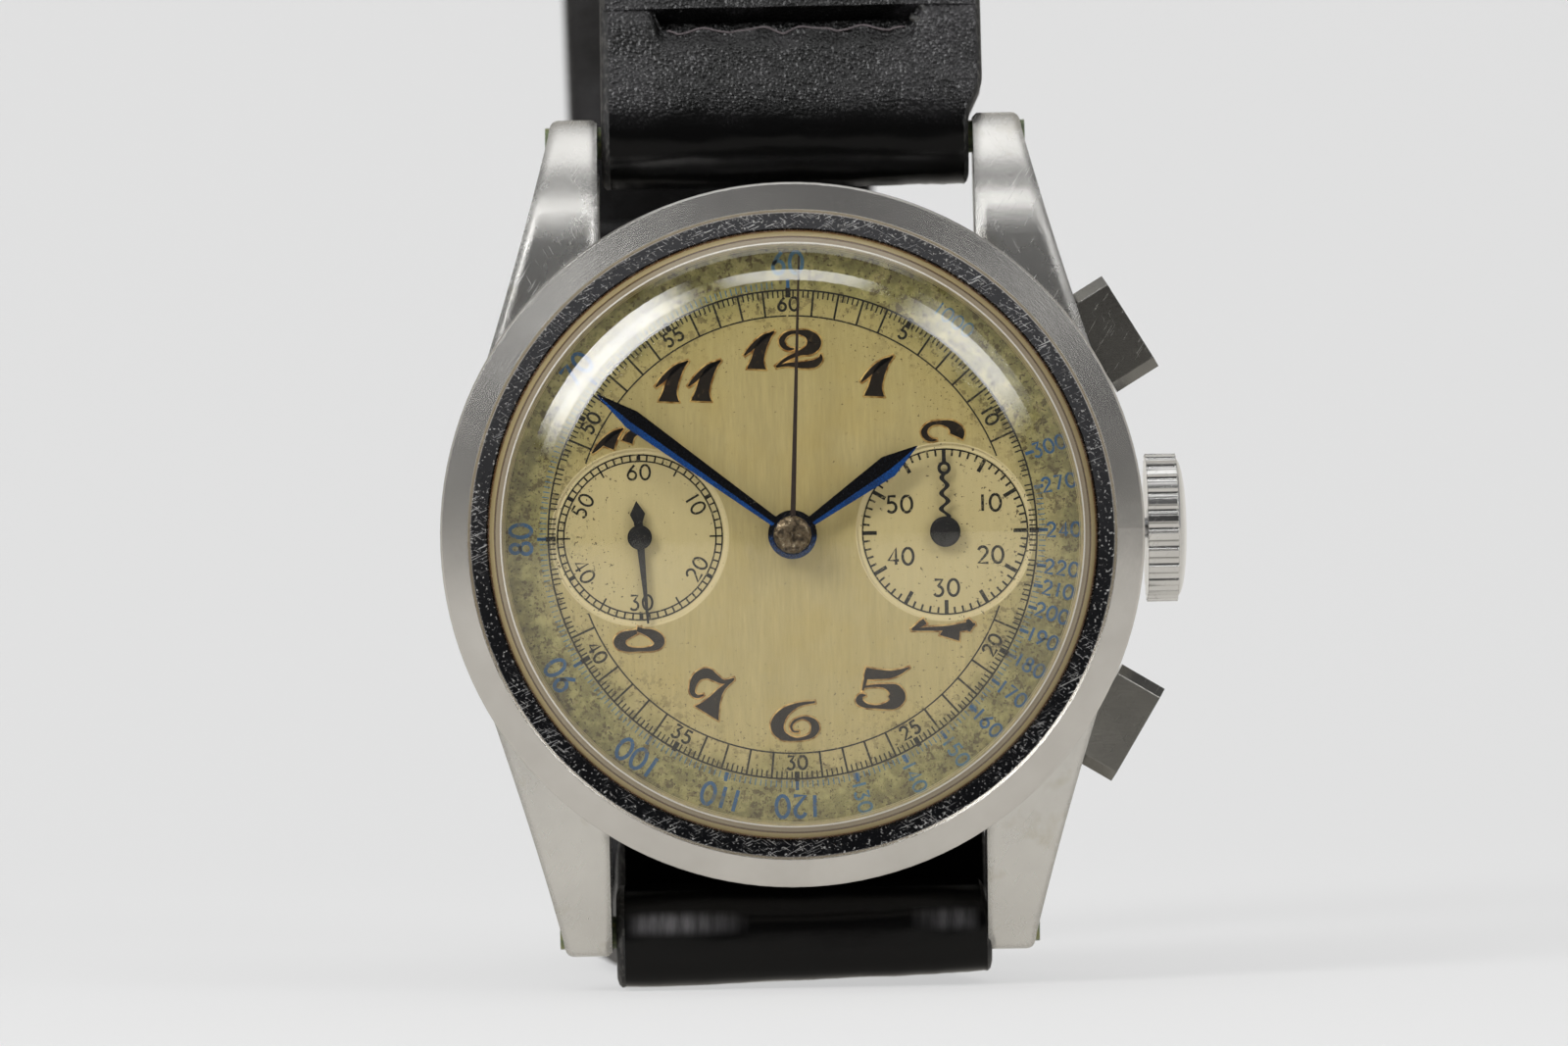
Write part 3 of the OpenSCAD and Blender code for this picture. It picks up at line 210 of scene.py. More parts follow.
# ------------------------------------------------------------------ material helpers
class Shader:
    """A short way to write a node material."""

    def __init__(self, name):
        self.material = bpy.data.materials.new(name)
        self.material.use_nodes = True
        self.tree = self.material.node_tree
        self.tree.nodes.clear()
        self.output = self.tree.nodes.new("ShaderNodeOutputMaterial")

    def put(self, value, socket):
        if isinstance(value, bpy.types.NodeSocket):
            self.tree.links.new(value, socket)
        elif socket.type == "RGBA" and len(value) == 3:
            socket.default_value = (*value, 1)
        else:
            socket.default_value = value

    def node(self, kind, out=0, settings=None, **inputs):
        n = self.tree.nodes.new("ShaderNode" + kind)
        for k, v in (settings or {}).items():
            setattr(n, k, v)
        for k, v in inputs.items():
            key = int(k[1:]) if k[0] == "i" and k[1:].isdigit() else k.replace("_", " ")
            self.put(v, n.inputs[key])
        return n.outputs[out]

    def math(self, op, a, b=0.0, c=0.0, clamp=False):
        return self.node("Math", settings={"operation": op, "use_clamp": clamp}, i0=a, i1=b, i2=c)

    def times(self, a, b):
        return self.math("MULTIPLY", a, b)

    def plus(self, a, b):
        return self.math("ADD", a, b)

    def minus(self, a, b):
        return self.math("SUBTRACT", a, b)

    def greater(self, a, b):
        return self.math("MAXIMUM", a, b)

    def radius(self, a, b):
        return self.math("SQRT", self.plus(self.times(a, a), self.times(b, b)))

    def mix(self, fac, a, b):
        n = self.tree.nodes.new("ShaderNodeMix")
        n.data_type = "RGBA"
        for socket, value in ((n.inputs[0], fac), (n.inputs[6], a), (n.inputs[7], b)):
            self.put(value, socket)
        return n.outputs[2]

    def ramp(self, fac, stops):
        n = self.tree.nodes.new("ShaderNodeValToRGB")
        while len(n.color_ramp.elements) < len(stops):
            n.color_ramp.elements.new(0.5)
        for e, (at, colour) in zip(n.color_ramp.elements, stops):
            e.position = at
            e.color = (*colour, 1)
        self.put(fac, n.inputs[0])
        return n.outputs[0]

    def span(self, value, a, b, c=0.0, d=1.0, smooth=False):
        kind = {"interpolation_type": "SMOOTHSTEP" if smooth else "LINEAR", "clamp": True}
        return self.node("MapRange", settings=kind, i0=value, i1=a, i2=b, i3=c, i4=d)

    def position(self):
        return self.node("TexCoord", out=3)

    def axes(self, vector):
        n = self.tree.nodes.new("ShaderNodeSeparateXYZ")
        self.put(vector, n.inputs[0])
        return n.outputs

    def stretched(self, x, y, z):
        """The object's coordinates in units of 1/x, 1/y and 1/z metres."""
        return self.node("VectorMath", settings={"operation": "MULTIPLY"}, i0=self.position(), i1=(x, y, z))

    def noise(self, place, detail=4.0, roughness=0.55):
        """Noise at a place, or of a fineness given as lumps per metre, one number or one for each axis."""
        if isinstance(place, (int, float)):
            place = (place, place, place)
        if isinstance(place, tuple):
            place = self.stretched(*place)
        return self.node("TexNoise", Vector=place, Scale=1.0, Detail=detail, Roughness=roughness)

    def bump(self, height, distance, strength=1.0, normal=None):
        extra = {} if normal is None else {"Normal": normal}
        return self.node("Bump", Height=height, Distance=distance, Strength=strength, **extra)

    def scratches(self, degrees, spacing, length, share):
        """Straight hairlines in the dial's plane at an angle from 3 o'clock, over a share of it."""
        x, y, z = self.axes(self.position())
        a = math.radians(degrees)
        along = self.plus(self.times(x, math.cos(a)), self.times(z, math.sin(a)))
        across = self.minus(self.times(z, math.cos(a)), self.times(x, math.sin(a)))
        along, across, y = [self.math("DIVIDE", v, size)
                            for v, size in ((along, length), (across, spacing), (y, length))]
        place = self.node("CombineXYZ", i0=along, i1=across, i2=y)
        return self.span(self.noise(place, 1.0), 0.80 - 0.3 * share, 0.84 - 0.3 * share)

    def round_edges(self, radius):
        return self.node("Bevel", settings={"samples": 4}, Radius=radius)

    def finish(self, **inputs):
        principled = self.node("BsdfPrincipled", **inputs)
        self.tree.links.new(principled, self.output.inputs[0])
        return self.material

    def surface(self, socket):
        self.tree.links.new(socket, self.output.inputs[0])
        return self.material


def srgb(r, g, b):
    def linear(c):
        c /= 255
        return c / 12.92 if c <= 0.04045 else ((c + 0.055) / 1.055) ** 2.4
    return (linear(r), linear(g), linear(b))


def grey(v):
    return (v, v, v)


# ------------------------------------------------------------------ metals
def steel(name, colour, roughness, grain, scratches, edge, wear=0.3, tint=None, vault=0.0):
    """Worn steel: grain is the depth of a short vertical brushing, scratches that of the hairlines, and
    vault how far wear has rounded the upper lugs towards their tips."""
    s = Shader(name)
    fine = s.noise((9000, 9000, 1400), 3.0)
    cross = s.noise((1500, 6000, 9000), 3.0)
    cloud = s.noise(260, 5.0)
    lines = s.greater(s.scratches(58, 0.05 * MM, 1.6 * MM, 0.3), s.scratches(118, 0.045 * MM, 1.1 * MM, 0.25))
    shade = s.mix(s.span(cloud, 0.3, 0.7), colour, [c * (1 - wear * 0.35) for c in colour])
    if tint:
        stain = s.span(s.noise(420, 6.0), 0.55, 0.75)
        shade = s.mix(s.times(stain, 0.5), shade, tint)
    height = s.plus(s.times(fine, grain), s.times(cross, grain * 0.35))
    height = s.minus(height, s.times(lines, scratches))
    rough = s.plus(s.times(s.minus(cloud, 0.5), 0.25 * wear), roughness)
    rough = s.plus(rough, s.times(lines, 0.08))
    normal = s.round_edges(edge)
    if vault:
        tip = s.span(s.axes(s.position())[2], 14.6 * MM, 21.4 * MM, 1.0, 0.0)
        fall = s.minus(1.0, s.math("POWER", s.minus(1.0, tip), 1.4))
        normal = s.bump(fall, vault, 1.0, normal)
    normal = s.bump(height, 0.01 * MM, 1.0, normal)
    return s.finish(Base_Color=shade, Metallic=1.0, Roughness=rough, Normal=normal)


def bezel_steel(name):
    """A cone brushed round the case, and inside it a polished step, scratched and speckled, painted near black as
    a reflection of the dark room behind the camera.
    """
    s = Shader(name)
    x, y, z = s.axes(s.position())
    r = s.radius(x, z)
    turn = s.math("ARCTAN2", z, x)
    fine = s.noise(s.node("CombineXYZ", i0=s.times(r, 14000.0), i1=s.times(turn, 30.0), i2=0.0))
    cloud = s.noise(260, 5.0)
    pits = s.noise(6500, 2.0)
    lines = s.greater(s.scratches(22, 0.05 * MM, 0.9 * MM, 0.5), s.scratches(146, 0.04 * MM, 0.7 * MM, 0.45))
    step = s.span(r, STEP_R - 0.05 * MM, STEP_R, 1.0, 0.0)
    cone = s.mix(s.span(cloud, 0.3, 0.7), (0.61, 0.595, 0.57), (0.53, 0.515, 0.49))
    bright = s.greater(s.span(pits, 0.60, 0.70), s.times(lines, s.span(cloud, 0.45, 0.6)))
    # painted reflection: the step's steel is painted near black for the dark room it mirrors; its pits and
    # scratches show paler
    worn = s.mix(bright, (0.062, 0.064, 0.072), grey(0.6))
    rough = s.mix(step, s.span(cloud, 0.2, 0.8, 0.20, 0.27), s.span(bright, 0.0, 1.0, 0.12, 0.5))
    height = s.plus(s.times(fine, s.span(step, 0, 1, 0.35, 0.05)),
                    s.times(bright, s.span(step, 0, 1, 0.0, 0.5)))
    normal = s.bump(height, 0.01 * MM, 1.0, s.round_edges(0.05 * MM))
    return s.finish(Base_Color=s.mix(step, cone, worn), Metallic=1.0, Roughness=rough, Normal=normal)


def gilt(name, colour, roughness=0.32):
    s = Shader(name)
    cloud = s.noise(500, 4.0)
    grain = s.noise(12000, 2.0)
    shade = s.mix(s.span(cloud, 0.35, 0.7), colour, [c * 0.72 for c in colour])
    return s.finish(Base_Color=shade, Metallic=1.0,
                    Roughness=s.span(cloud, 0.2, 0.8, roughness - 0.07, roughness + 0.1),
                    Normal=s.bump(grain, 0.004 * MM, 0.6, s.round_edges(0.04 * MM)))


def striped_bridge(name):
    """Rhodium plate with the soft parallel stripes that bridges are decorated with."""
    s = Shader(name)
    x, y, z = s.axes(s.position())
    wave = s.math("SINE", s.times(s.plus(x, z), TAU / (1.5 * MM)))
    grain = s.noise((14000, 9000, 2000), 2.0)
    shade = s.mix(s.span(wave, -1, 1), grey(0.46), grey(0.62))
    return s.finish(Base_Color=shade, Metallic=1.0, Roughness=s.span(wave, -1, 1, 0.22, 0.38),
                    Normal=s.bump(grain, 0.005 * MM, 0.7, s.round_edges(0.05 * MM)))


def verdigris_brass(name):
    s = Shader(name)
    cloud = s.noise(2600, 6.0)
    shade = s.ramp(cloud, [(0.3, (0.30, 0.28, 0.13)), (0.5, (0.16, 0.20, 0.10)), (0.7, (0.05, 0.06, 0.04))])
    return s.finish(Base_Color=shade, Metallic=s.span(cloud, 0.3, 0.6, 0.9, 0.2), Roughness=0.5,
                    Normal=s.bump(cloud, 0.03 * MM, 0.8, s.round_edges(0.1 * MM)))


def blued(name, dark=1.0):
    """Heat-blued steel: near black square on, deep blue where it catches the light. The two are a painted
    reflection: facets facing up are near black, those facing down blue.
    """
    s = Shader(name)
    cloud = s.noise(900, 5.0)
    specks = s.noise(7000, 3.0)
    shade = s.mix(s.span(cloud, 0.35, 0.7), (0.008 * dark, 0.065 * dark, 0.30 * dark),
                  (0.010 * dark, 0.040 * dark, 0.16 * dark))
    # painted reflection: the colour follows which way a facet faces, near black facing up, blue facing down
    lean = s.axes(s.node("NewGeometry", out=1))[2]
    shade = s.mix(s.span(lean, -0.12, 0.02), shade, (0.004 * dark, 0.005 * dark, 0.010 * dark))
    shade = s.mix(s.span(specks, 0.68, 0.76), shade, (0.05, 0.04, 0.035))
    return s.finish(Base_Color=shade, Metallic=0.95, Roughness=s.span(specks, 0.3, 0.75, 0.13, 0.4),
                    Normal=s.bump(specks, 0.002 * MM, 0.4))


def black_hand(name, colour=(0.008, 0.008, 0.01)):
    s = Shader(name)
    specks = s.noise(8000, 3.0)
    shade = s.mix(s.span(specks, 0.6, 0.72), colour, (0.05, 0.045, 0.04))
    return s.finish(Base_Color=shade, Roughness=s.span(specks, 0.3, 0.75, 0.3, 0.6), Metallic=0.3,
                    Normal=s.bump(specks, 0.006 * MM, 0.5))


# ------------------------------------------------------------------ dial, print and crystal
CHAMPAGNE = srgb(198, 182, 130)
PALE = srgb(216, 202, 158)
OLIVE = srgb(120, 122, 70)
STAIN = srgb(92, 82, 56)


def dial_base(s):
    """The aged dial's colour and height, shared by the dial and by what is printed on it. Its upper part is
    painted darker, as shade from the rim.
    """
    x, y, z = s.axes(s.position())
    r = s.radius(x, z)
    r_mm = s.math("DIVIDE", r, MM)
    side = s.minus(s.math("ABSOLUTE", x), REGISTER_X)
    reg = s.radius(side, z)
    in_register = s.span(reg, REGISTER_R - 0.05 * MM, REGISTER_R, 1.0, 0.0)
    rim = s.times(s.span(reg, 4.10 * MM, 4.16 * MM), s.span(reg, 4.36 * MM, 4.42 * MM, 1.0, 0.0))
    grain = s.noise((9000, 3000, 900), 3.0)
    streak = s.noise((2600, 900, 260), 4.0)
    cloud = s.noise(330, 6.0, 0.6)
    blot = s.noise(1300, 7.0, 0.7)
    speck = s.noise(6400, 2.0)
    rare = s.noise(2100, 2.0)
    colour = s.mix(s.span(grain, 0.3, 0.7), CHAMPAGNE, [c * 0.86 for c in CHAMPAGNE])
    colour = s.mix(s.times(s.span(streak, 0.35, 0.7), 0.35), colour, srgb(168, 153, 106))
    warm = s.span(cloud, 0.45, 0.68)
    colour = s.mix(s.times(warm, 0.35), colour, srgb(188, 166, 98))
    # painted shade: the upper part of the dial is painted darker and greener, as the rim's shadow
    upper = s.times(s.span(z, 1 * MM, 12 * MM), s.span(r_mm, 5.0, 12.5))
    colour = s.mix(s.times(upper, 0.5), colour, srgb(164, 152, 80))
    edge = s.plus(r_mm, s.times(s.minus(cloud, 0.5), 5.0))
    colour = s.mix(s.span(edge, 10.4, 13.4, 0.0, 0.72, smooth=True), colour, OLIVE)
    dirt = s.times(s.span(edge, 11.0, 13.6, 0.0, 1.0), s.span(blot, 0.46, 0.66))
    colour = s.mix(s.times(dirt, 0.62), colour, STAIN)
    crumbs = s.noise(3400, 3.0, 0.6)
    dots = s.times(s.span(edge, 9.6, 12.4), s.span(crumbs, 0.555, 0.60))
    colour = s.mix(s.times(dots, 0.75), colour, srgb(80, 66, 40))
    light = s.times(s.span(edge, 11.4, 12.6), s.span(blot, 0.5, 0.38))
    colour = s.mix(s.times(light, 0.4), colour, srgb(200, 188, 132))
    colour = s.mix(s.times(in_register, 0.5), colour, PALE)
    colour = s.mix(s.times(rim, 0.75), colour, srgb(232, 218, 176))
    many = s.span(r_mm, 6.0, 13.0, 0.70, 0.60)
    spots = s.span(s.minus(speck, many), 0.0, 0.03)
    spots = s.times(spots, s.span(rare, 0.42, 0.50))
    colour = s.mix(s.times(spots, 0.85), colour, srgb(66, 52, 34))
    height = s.plus(s.times(grain, 0.5), s.times(blot, 0.4))
    height = s.minus(height, s.times(spots, 0.6))
    return colour, height, blot, speck


def dial_material():
    s = Shader("aged_dial")
    colour, height, blot, speck = dial_base(s)
    normal = s.bump(height, 0.012 * MM, 0.7, s.round_edges(0.05 * MM))
    rough = s.span(blot, 0.3, 0.7, 0.42, 0.6)
    return s.finish(Base_Color=colour, Metallic=0.25, Roughness=rough, Normal=normal)


def print_material(name, ink, worn_at, worn_share):
    """Ink that has worn through to the dial in patches."""
    s = Shader(name)
    colour, height, blot, speck = dial_base(s)
    gone = s.times(s.span(blot, worn_at, worn_at + 0.06), worn_share)
    gone = s.greater(gone, s.times(s.span(speck, 0.6, 0.66), worn_share * 0.8))
    return s.finish(Base_Color=s.mix(gone, ink, colour), Roughness=0.5, Specular_IOR_Level=0.3)


def numeral_materials():
    s = Shader("numeral_paint")
    chips = s.noise(4200, 4.0)
    shade = s.mix(s.span(chips, 0.58, 0.7), (0.013, 0.009, 0.006), (0.055, 0.036, 0.018))
    dark = s.finish(Base_Color=shade, Roughness=s.span(chips, 0.3, 0.7, 0.45, 0.7), Specular_IOR_Level=0.15,
                    Normal=s.bump(chips, 0.02 * MM, 0.5))
    g = Shader("numeral_edge")
    wear = g.noise(3000, 3.0)
    shade = g.mix(g.span(wear, 0.4, 0.65), srgb(240, 214, 158), srgb(160, 116, 62))
    return [dark, g.finish(Base_Color=shade, Metallic=0.75, Roughness=0.34)]


def crystal_material():
    """Clear acrylic that mirrors at its outer skin only; its thick foot is painted tan and brown for what it
    refracts, with a painted highlight line at its inner edge.
    """
    s = Shader("acrylic_crystal")
    x, y, z = s.axes(s.position())
    r = s.radius(x, z)
    scuffs = s.noise(900, 6.0)
    hair = s.noise((300, 1800, 1100), 2.0)
    lines = s.span(s.math("ABSOLUTE", s.minus(hair, 0.5)), 0.0, 0.0025, 1.0, 0.0)
    normal = s.bump(s.plus(lines, scuffs), 0.0008 * MM, 0.4)
    fresnel = s.node("Fresnel", IOR=1.49, Normal=normal)
    outside = s.minus(1.0, s.node("NewGeometry", out=6))
    polish = s.span(scuffs, 0.3, 0.8, 0.03, 0.09)
    mirror = s.node("BsdfGlossy", Color=grey(1.0), Roughness=polish, Normal=normal)
    clear = s.node("BsdfTransparent", Color=(0.985, 0.98, 0.955, 1))
    both_skins = s.math("MULTIPLY", s.times(fresnel, 1.8), outside, clamp=True)
    skin = s.node("MixShader", i0=both_skins, i1=clear, i2=mirror)
    foot_w = 0.72 * MM
    foot = s.times(s.span(r, CRYSTAL_R - foot_w, CRYSTAL_R - foot_w + 0.04 * MM), outside)
    # painted light: the tan and brown bands stand for refraction in the thick acrylic, and the pale band at the
    # inner edge is a painted highlight
    painted_edge_bands = s.ramp(s.span(r, CRYSTAL_R - foot_w, CRYSTAL_R), [
        (0.0, srgb(236, 232, 220)), (0.09, srgb(236, 232, 220)),
        (0.14, srgb(142, 128, 106)), (0.40, srgb(150, 138, 114)),
        (0.45, srgb(92, 68, 42)), (0.52, srgb(92, 68, 42)),
        (0.57, srgb(168, 152, 108)), (0.84, srgb(150, 132, 88)),
        (0.90, srgb(112, 78, 44)), (1.0, srgb(84, 56, 30))])
    tan = s.node("BsdfPrincipled", Base_Color=painted_edge_bands, Roughness=0.25)
    return s.surface(s.node("MixShader", i0=s.times(foot, 0.8), i1=skin, i2=tan))


def glossy_solid(name, colour, roughness, scale, depth):
    """A plain lacquer, rubber or ruby with a little unevenness."""
    s = Shader(name)
    cloud = s.noise(scale, 4.0)
    shade = s.mix(s.span(cloud, 0.35, 0.7), colour, [c * 0.7 for c in colour])
    return s.finish(Base_Color=shade, Roughness=s.span(cloud, 0.3, 0.7, roughness, roughness + 0.15),
                    Normal=s.bump(cloud, depth, 0.5, s.round_edges(0.05 * MM)))


# ------------------------------------------------------------------ leather
def leather_material(name):
    """Black calf: pebbled and rubbed grey where it is handled, smooth and glossy round the bars. The grey is
    partly wear, partly painted sheen, painted lighter towards the sides, and a highlight is painted on the lower
    fold's shoulder.
    """
    s = Shader(name)
    x, y, z = s.axes(s.position())
    pebbles = s.node("TexVoronoi", settings={"feature": "SMOOTH_F1"}, Scale=1.0, Smoothness=0.5,
                     Vector=s.stretched(5400, 5400, 5400))
    pores = s.noise(9000, 3.0)
    wrinkle = s.noise((380, 1500, 1500), 5.0, 0.6)
    crease = s.noise((2600, 500, 500), 3.0)
    patch = s.noise(260, 5.0, 0.6)
    handled = s.greater(s.span(z, 19.8 * MM, 22.6 * MM, smooth=True), s.span(y, 2 * MM, 8 * MM, 0.0, 0.35))
    # lighter towards the sides: partly wear, partly a painted highlight where the rounded sides catch the side
    # lights
    sides = s.span(s.math("ABSOLUTE", s.plus(x, 1 * MM)), 5.5 * MM, 8.6 * MM, 0.0, 0.22)
    rubbed = s.span(s.plus(patch, sides), 0.50, 0.80)
    tops = s.span(pebbles, 0.42, 0.16)
    rubbed = s.times(s.times(rubbed, handled), s.plus(s.times(tops, 0.75), 0.25))
    shade = s.mix(handled, grey(0.0020), grey(0.0028))
    # rubbed grey: partly wear on the pebbles, partly painted sheen where the loop turns up towards the lights
    shade = s.mix(s.times(rubbed, 0.7), shade, (0.11, 0.105, 0.112))
    lint = s.times(s.math("GREATER_THAN", s.noise(5200, 1.0), 0.77), handled)
    shade = s.mix(s.times(lint, 0.6), shade, grey(0.25))
    rough_skin = s.minus(s.times(pores, 0.6), s.times(pebbles, 4.6))
    smooth_skin = s.plus(s.times(crease, 0.5), s.times(wrinkle, 0.35))
    folds = s.noise((2600, 300, 420), 3.0)
    # painted highlight: the lower fold's shoulder is painted paler at its left and right, where the side lights
    # would shine on it, broken up by fine folds
    shoulder = s.times(s.span(z, -18.4 * MM, -19.0 * MM, smooth=True),
                       s.span(z, -19.9 * MM, -19.2 * MM, smooth=True))
    left = s.times(s.span(x, -8.7 * MM, -7.4 * MM), s.span(x, -2.4 * MM, -5.6 * MM))
    right = s.times(s.span(x, 5.4 * MM, 7.2 * MM), s.span(x, 9.0 * MM, 8.2 * MM, 0.0, 0.7))
    painted_highlight = s.times(s.times(s.greater(left, right), shoulder), s.span(y, 0.0, -1 * MM))
    painted_highlight = s.times(painted_highlight, s.span(folds, 0.30, 0.70, 0.35, 1.0))
    shade = s.mix(painted_highlight, shade, (0.14, 0.135, 0.14))
    height = s.plus(s.times(rough_skin, handled), smooth_skin)
    height = s.plus(height, s.times(folds, s.times(painted_highlight, 1.2)))
    rough = s.plus(s.span(pores, 0.3, 0.7, 0.2, 0.25), s.times(handled, 0.06))
    inside = s.times(s.span(z, -18.3 * MM, -17.5 * MM), s.span(z, 0.0, -8 * MM))
    inside = s.times(inside, s.span(y, 2.4 * MM, 1.4 * MM))
    gloss = s.span(z, -10 * MM, 10 * MM, 0.17, 0.12)
    gloss = s.plus(gloss, s.times(handled, 0.25))
    gloss = s.times(gloss, s.minus(1.0, inside))
    return s.finish(Base_Color=shade, Roughness=rough, Specular_IOR_Level=gloss,
                    Normal=s.bump(height, 0.025 * MM, 0.7))


def edge_material():
    """The cut, dyed edge of the leather: fibrous and duller."""
    s = Shader("leather_edge")
    fibre = s.noise((7000, 7000, 2600), 4.0)
    shade = s.mix(s.span(fibre, 0.5, 0.72), (0.006, 0.006, 0.006), (0.075, 0.07, 0.065))
    return s.finish(Base_Color=shade, Roughness=0.6, Normal=s.bump(fibre, 0.06 * MM, 0.8))


def thread_material():
    s = Shader("waxed_thread")
    twist = s.noise(6000, 2.0)
    shade = s.mix(s.span(twist, 0.4, 0.6), (0.012, 0.012, 0.012), (0.05, 0.048, 0.045))
    return s.finish(Base_Color=shade, Roughness=0.5, Normal=s.bump(twist, 0.03 * MM, 0.8))


CASE_STEEL = steel("case_steel", (0.63, 0.62, 0.595), 0.27, 0.45, 0.15, 0.8 * MM, tint=(0.40, 0.37, 0.27),
                   vault=1.3 * MM)
BEZEL_STEEL = bezel_steel("bezel_steel")
BRIGHT_STEEL = steel("bright_steel", (0.66, 0.655, 0.64), 0.14, 0.12, 0.6, 0.08 * MM, wear=0.4)
PUSHER_STEEL = steel("pusher_steel", (0.22, 0.215, 0.20), 0.2, 0.25, 0.6, 0.08 * MM, wear=0.6)
WORK_STEEL = steel("movement_steel", (0.52, 0.52, 0.53), 0.25, 0.2, 0.2, 0.03 * MM)
GILT = gilt("gilt_brass", (0.72, 0.55, 0.26))
BAR_BRASS = verdigris_brass("bar_brass")
BRIDGES = striped_bridge("striped_rhodium")
BLUED = blued("blued_steel")
BLUED_SCREWS = blued("blued_screws", 1.6)
BLACK_HAND = black_hand("black_hand")
BROWN_HAND = black_hand("brown_hand", (0.022, 0.010, 0.008))
DIAL = dial_material()
CRYSTAL = crystal_material()
RUBY = glossy_solid("ruby", (0.55, 0.02, 0.08), 0.08, 3000, 0.002 * MM)
RUBBER = glossy_solid("gasket_rubber", (0.02, 0.02, 0.02), 0.55, 6000, 0.01 * MM)
REFLECTOR = glossy_solid("reflector", srgb(206, 190, 146), 0.3, 1500, 0.004 * MM)
BLACK_INK = print_material("black_ink", (0.010, 0.009, 0.007), 0.62, 0.45)
BLUE_INK = print_material("blue_ink", srgb(44, 88, 132), 0.56, 0.5)
PALE_BLUE_INK = print_material("pale_blue_ink", srgb(76, 114, 140), 0.56, 0.6)
LEATHER_SKIN = leather_material("black_calf")
LEATHER_EDGE = edge_material()
RUBBED_EDGE = glossy_solid("rubbed_edge", (0.12, 0.10, 0.105), 0.5, 4000, 0.03 * MM)
THREAD = thread_material()

LOOKS = {
    "case_middle": CASE_STEEL, "bezel": BEZEL_STEEL, "case_back": CASE_STEEL, "lug_bars": BAR_BRASS,
    "crystal": CRYSTAL, "reflector_ring": REFLECTOR, "case_back_gasket": RUBBER, "dial": DIAL,
    "crown": BRIGHT_STEEL, "start_pusher": PUSHER_STEEL, "reset_pusher": PUSHER_STEEL,
    "case_tubes": BRIGHT_STEEL, "jewels": RUBY, "bridge_screws": BLUED_SCREWS, "balance_spring": BLUED_SCREWS,
}
SLOT_LOOKS = {"gilt_brass": GILT, "rhodium_plate": BRIDGES, "movement_steel": WORK_STEEL,
              "polished_steel": BRIGHT_STEEL, "blued_steel": BLUED, "black_lacquer": BLACK_HAND,
              "black_leather": LEATHER_SKIN}


def dress_cad_nodes():
    slots = {s["node"]: s["material_slot"] for s in frame["record"]["subparts"]}
    for name, obj in nodes.items():
        obj.data.materials.clear()
        obj.data.materials.append(LOOKS.get(name) or SLOT_LOOKS.get(slots[name], WORK_STEEL))
        obj.data.polygons.foreach_set("use_smooth", [True] * len(obj.data.polygons))
        obj.data.set_sharp_from_angle(angle=math.radians(28))


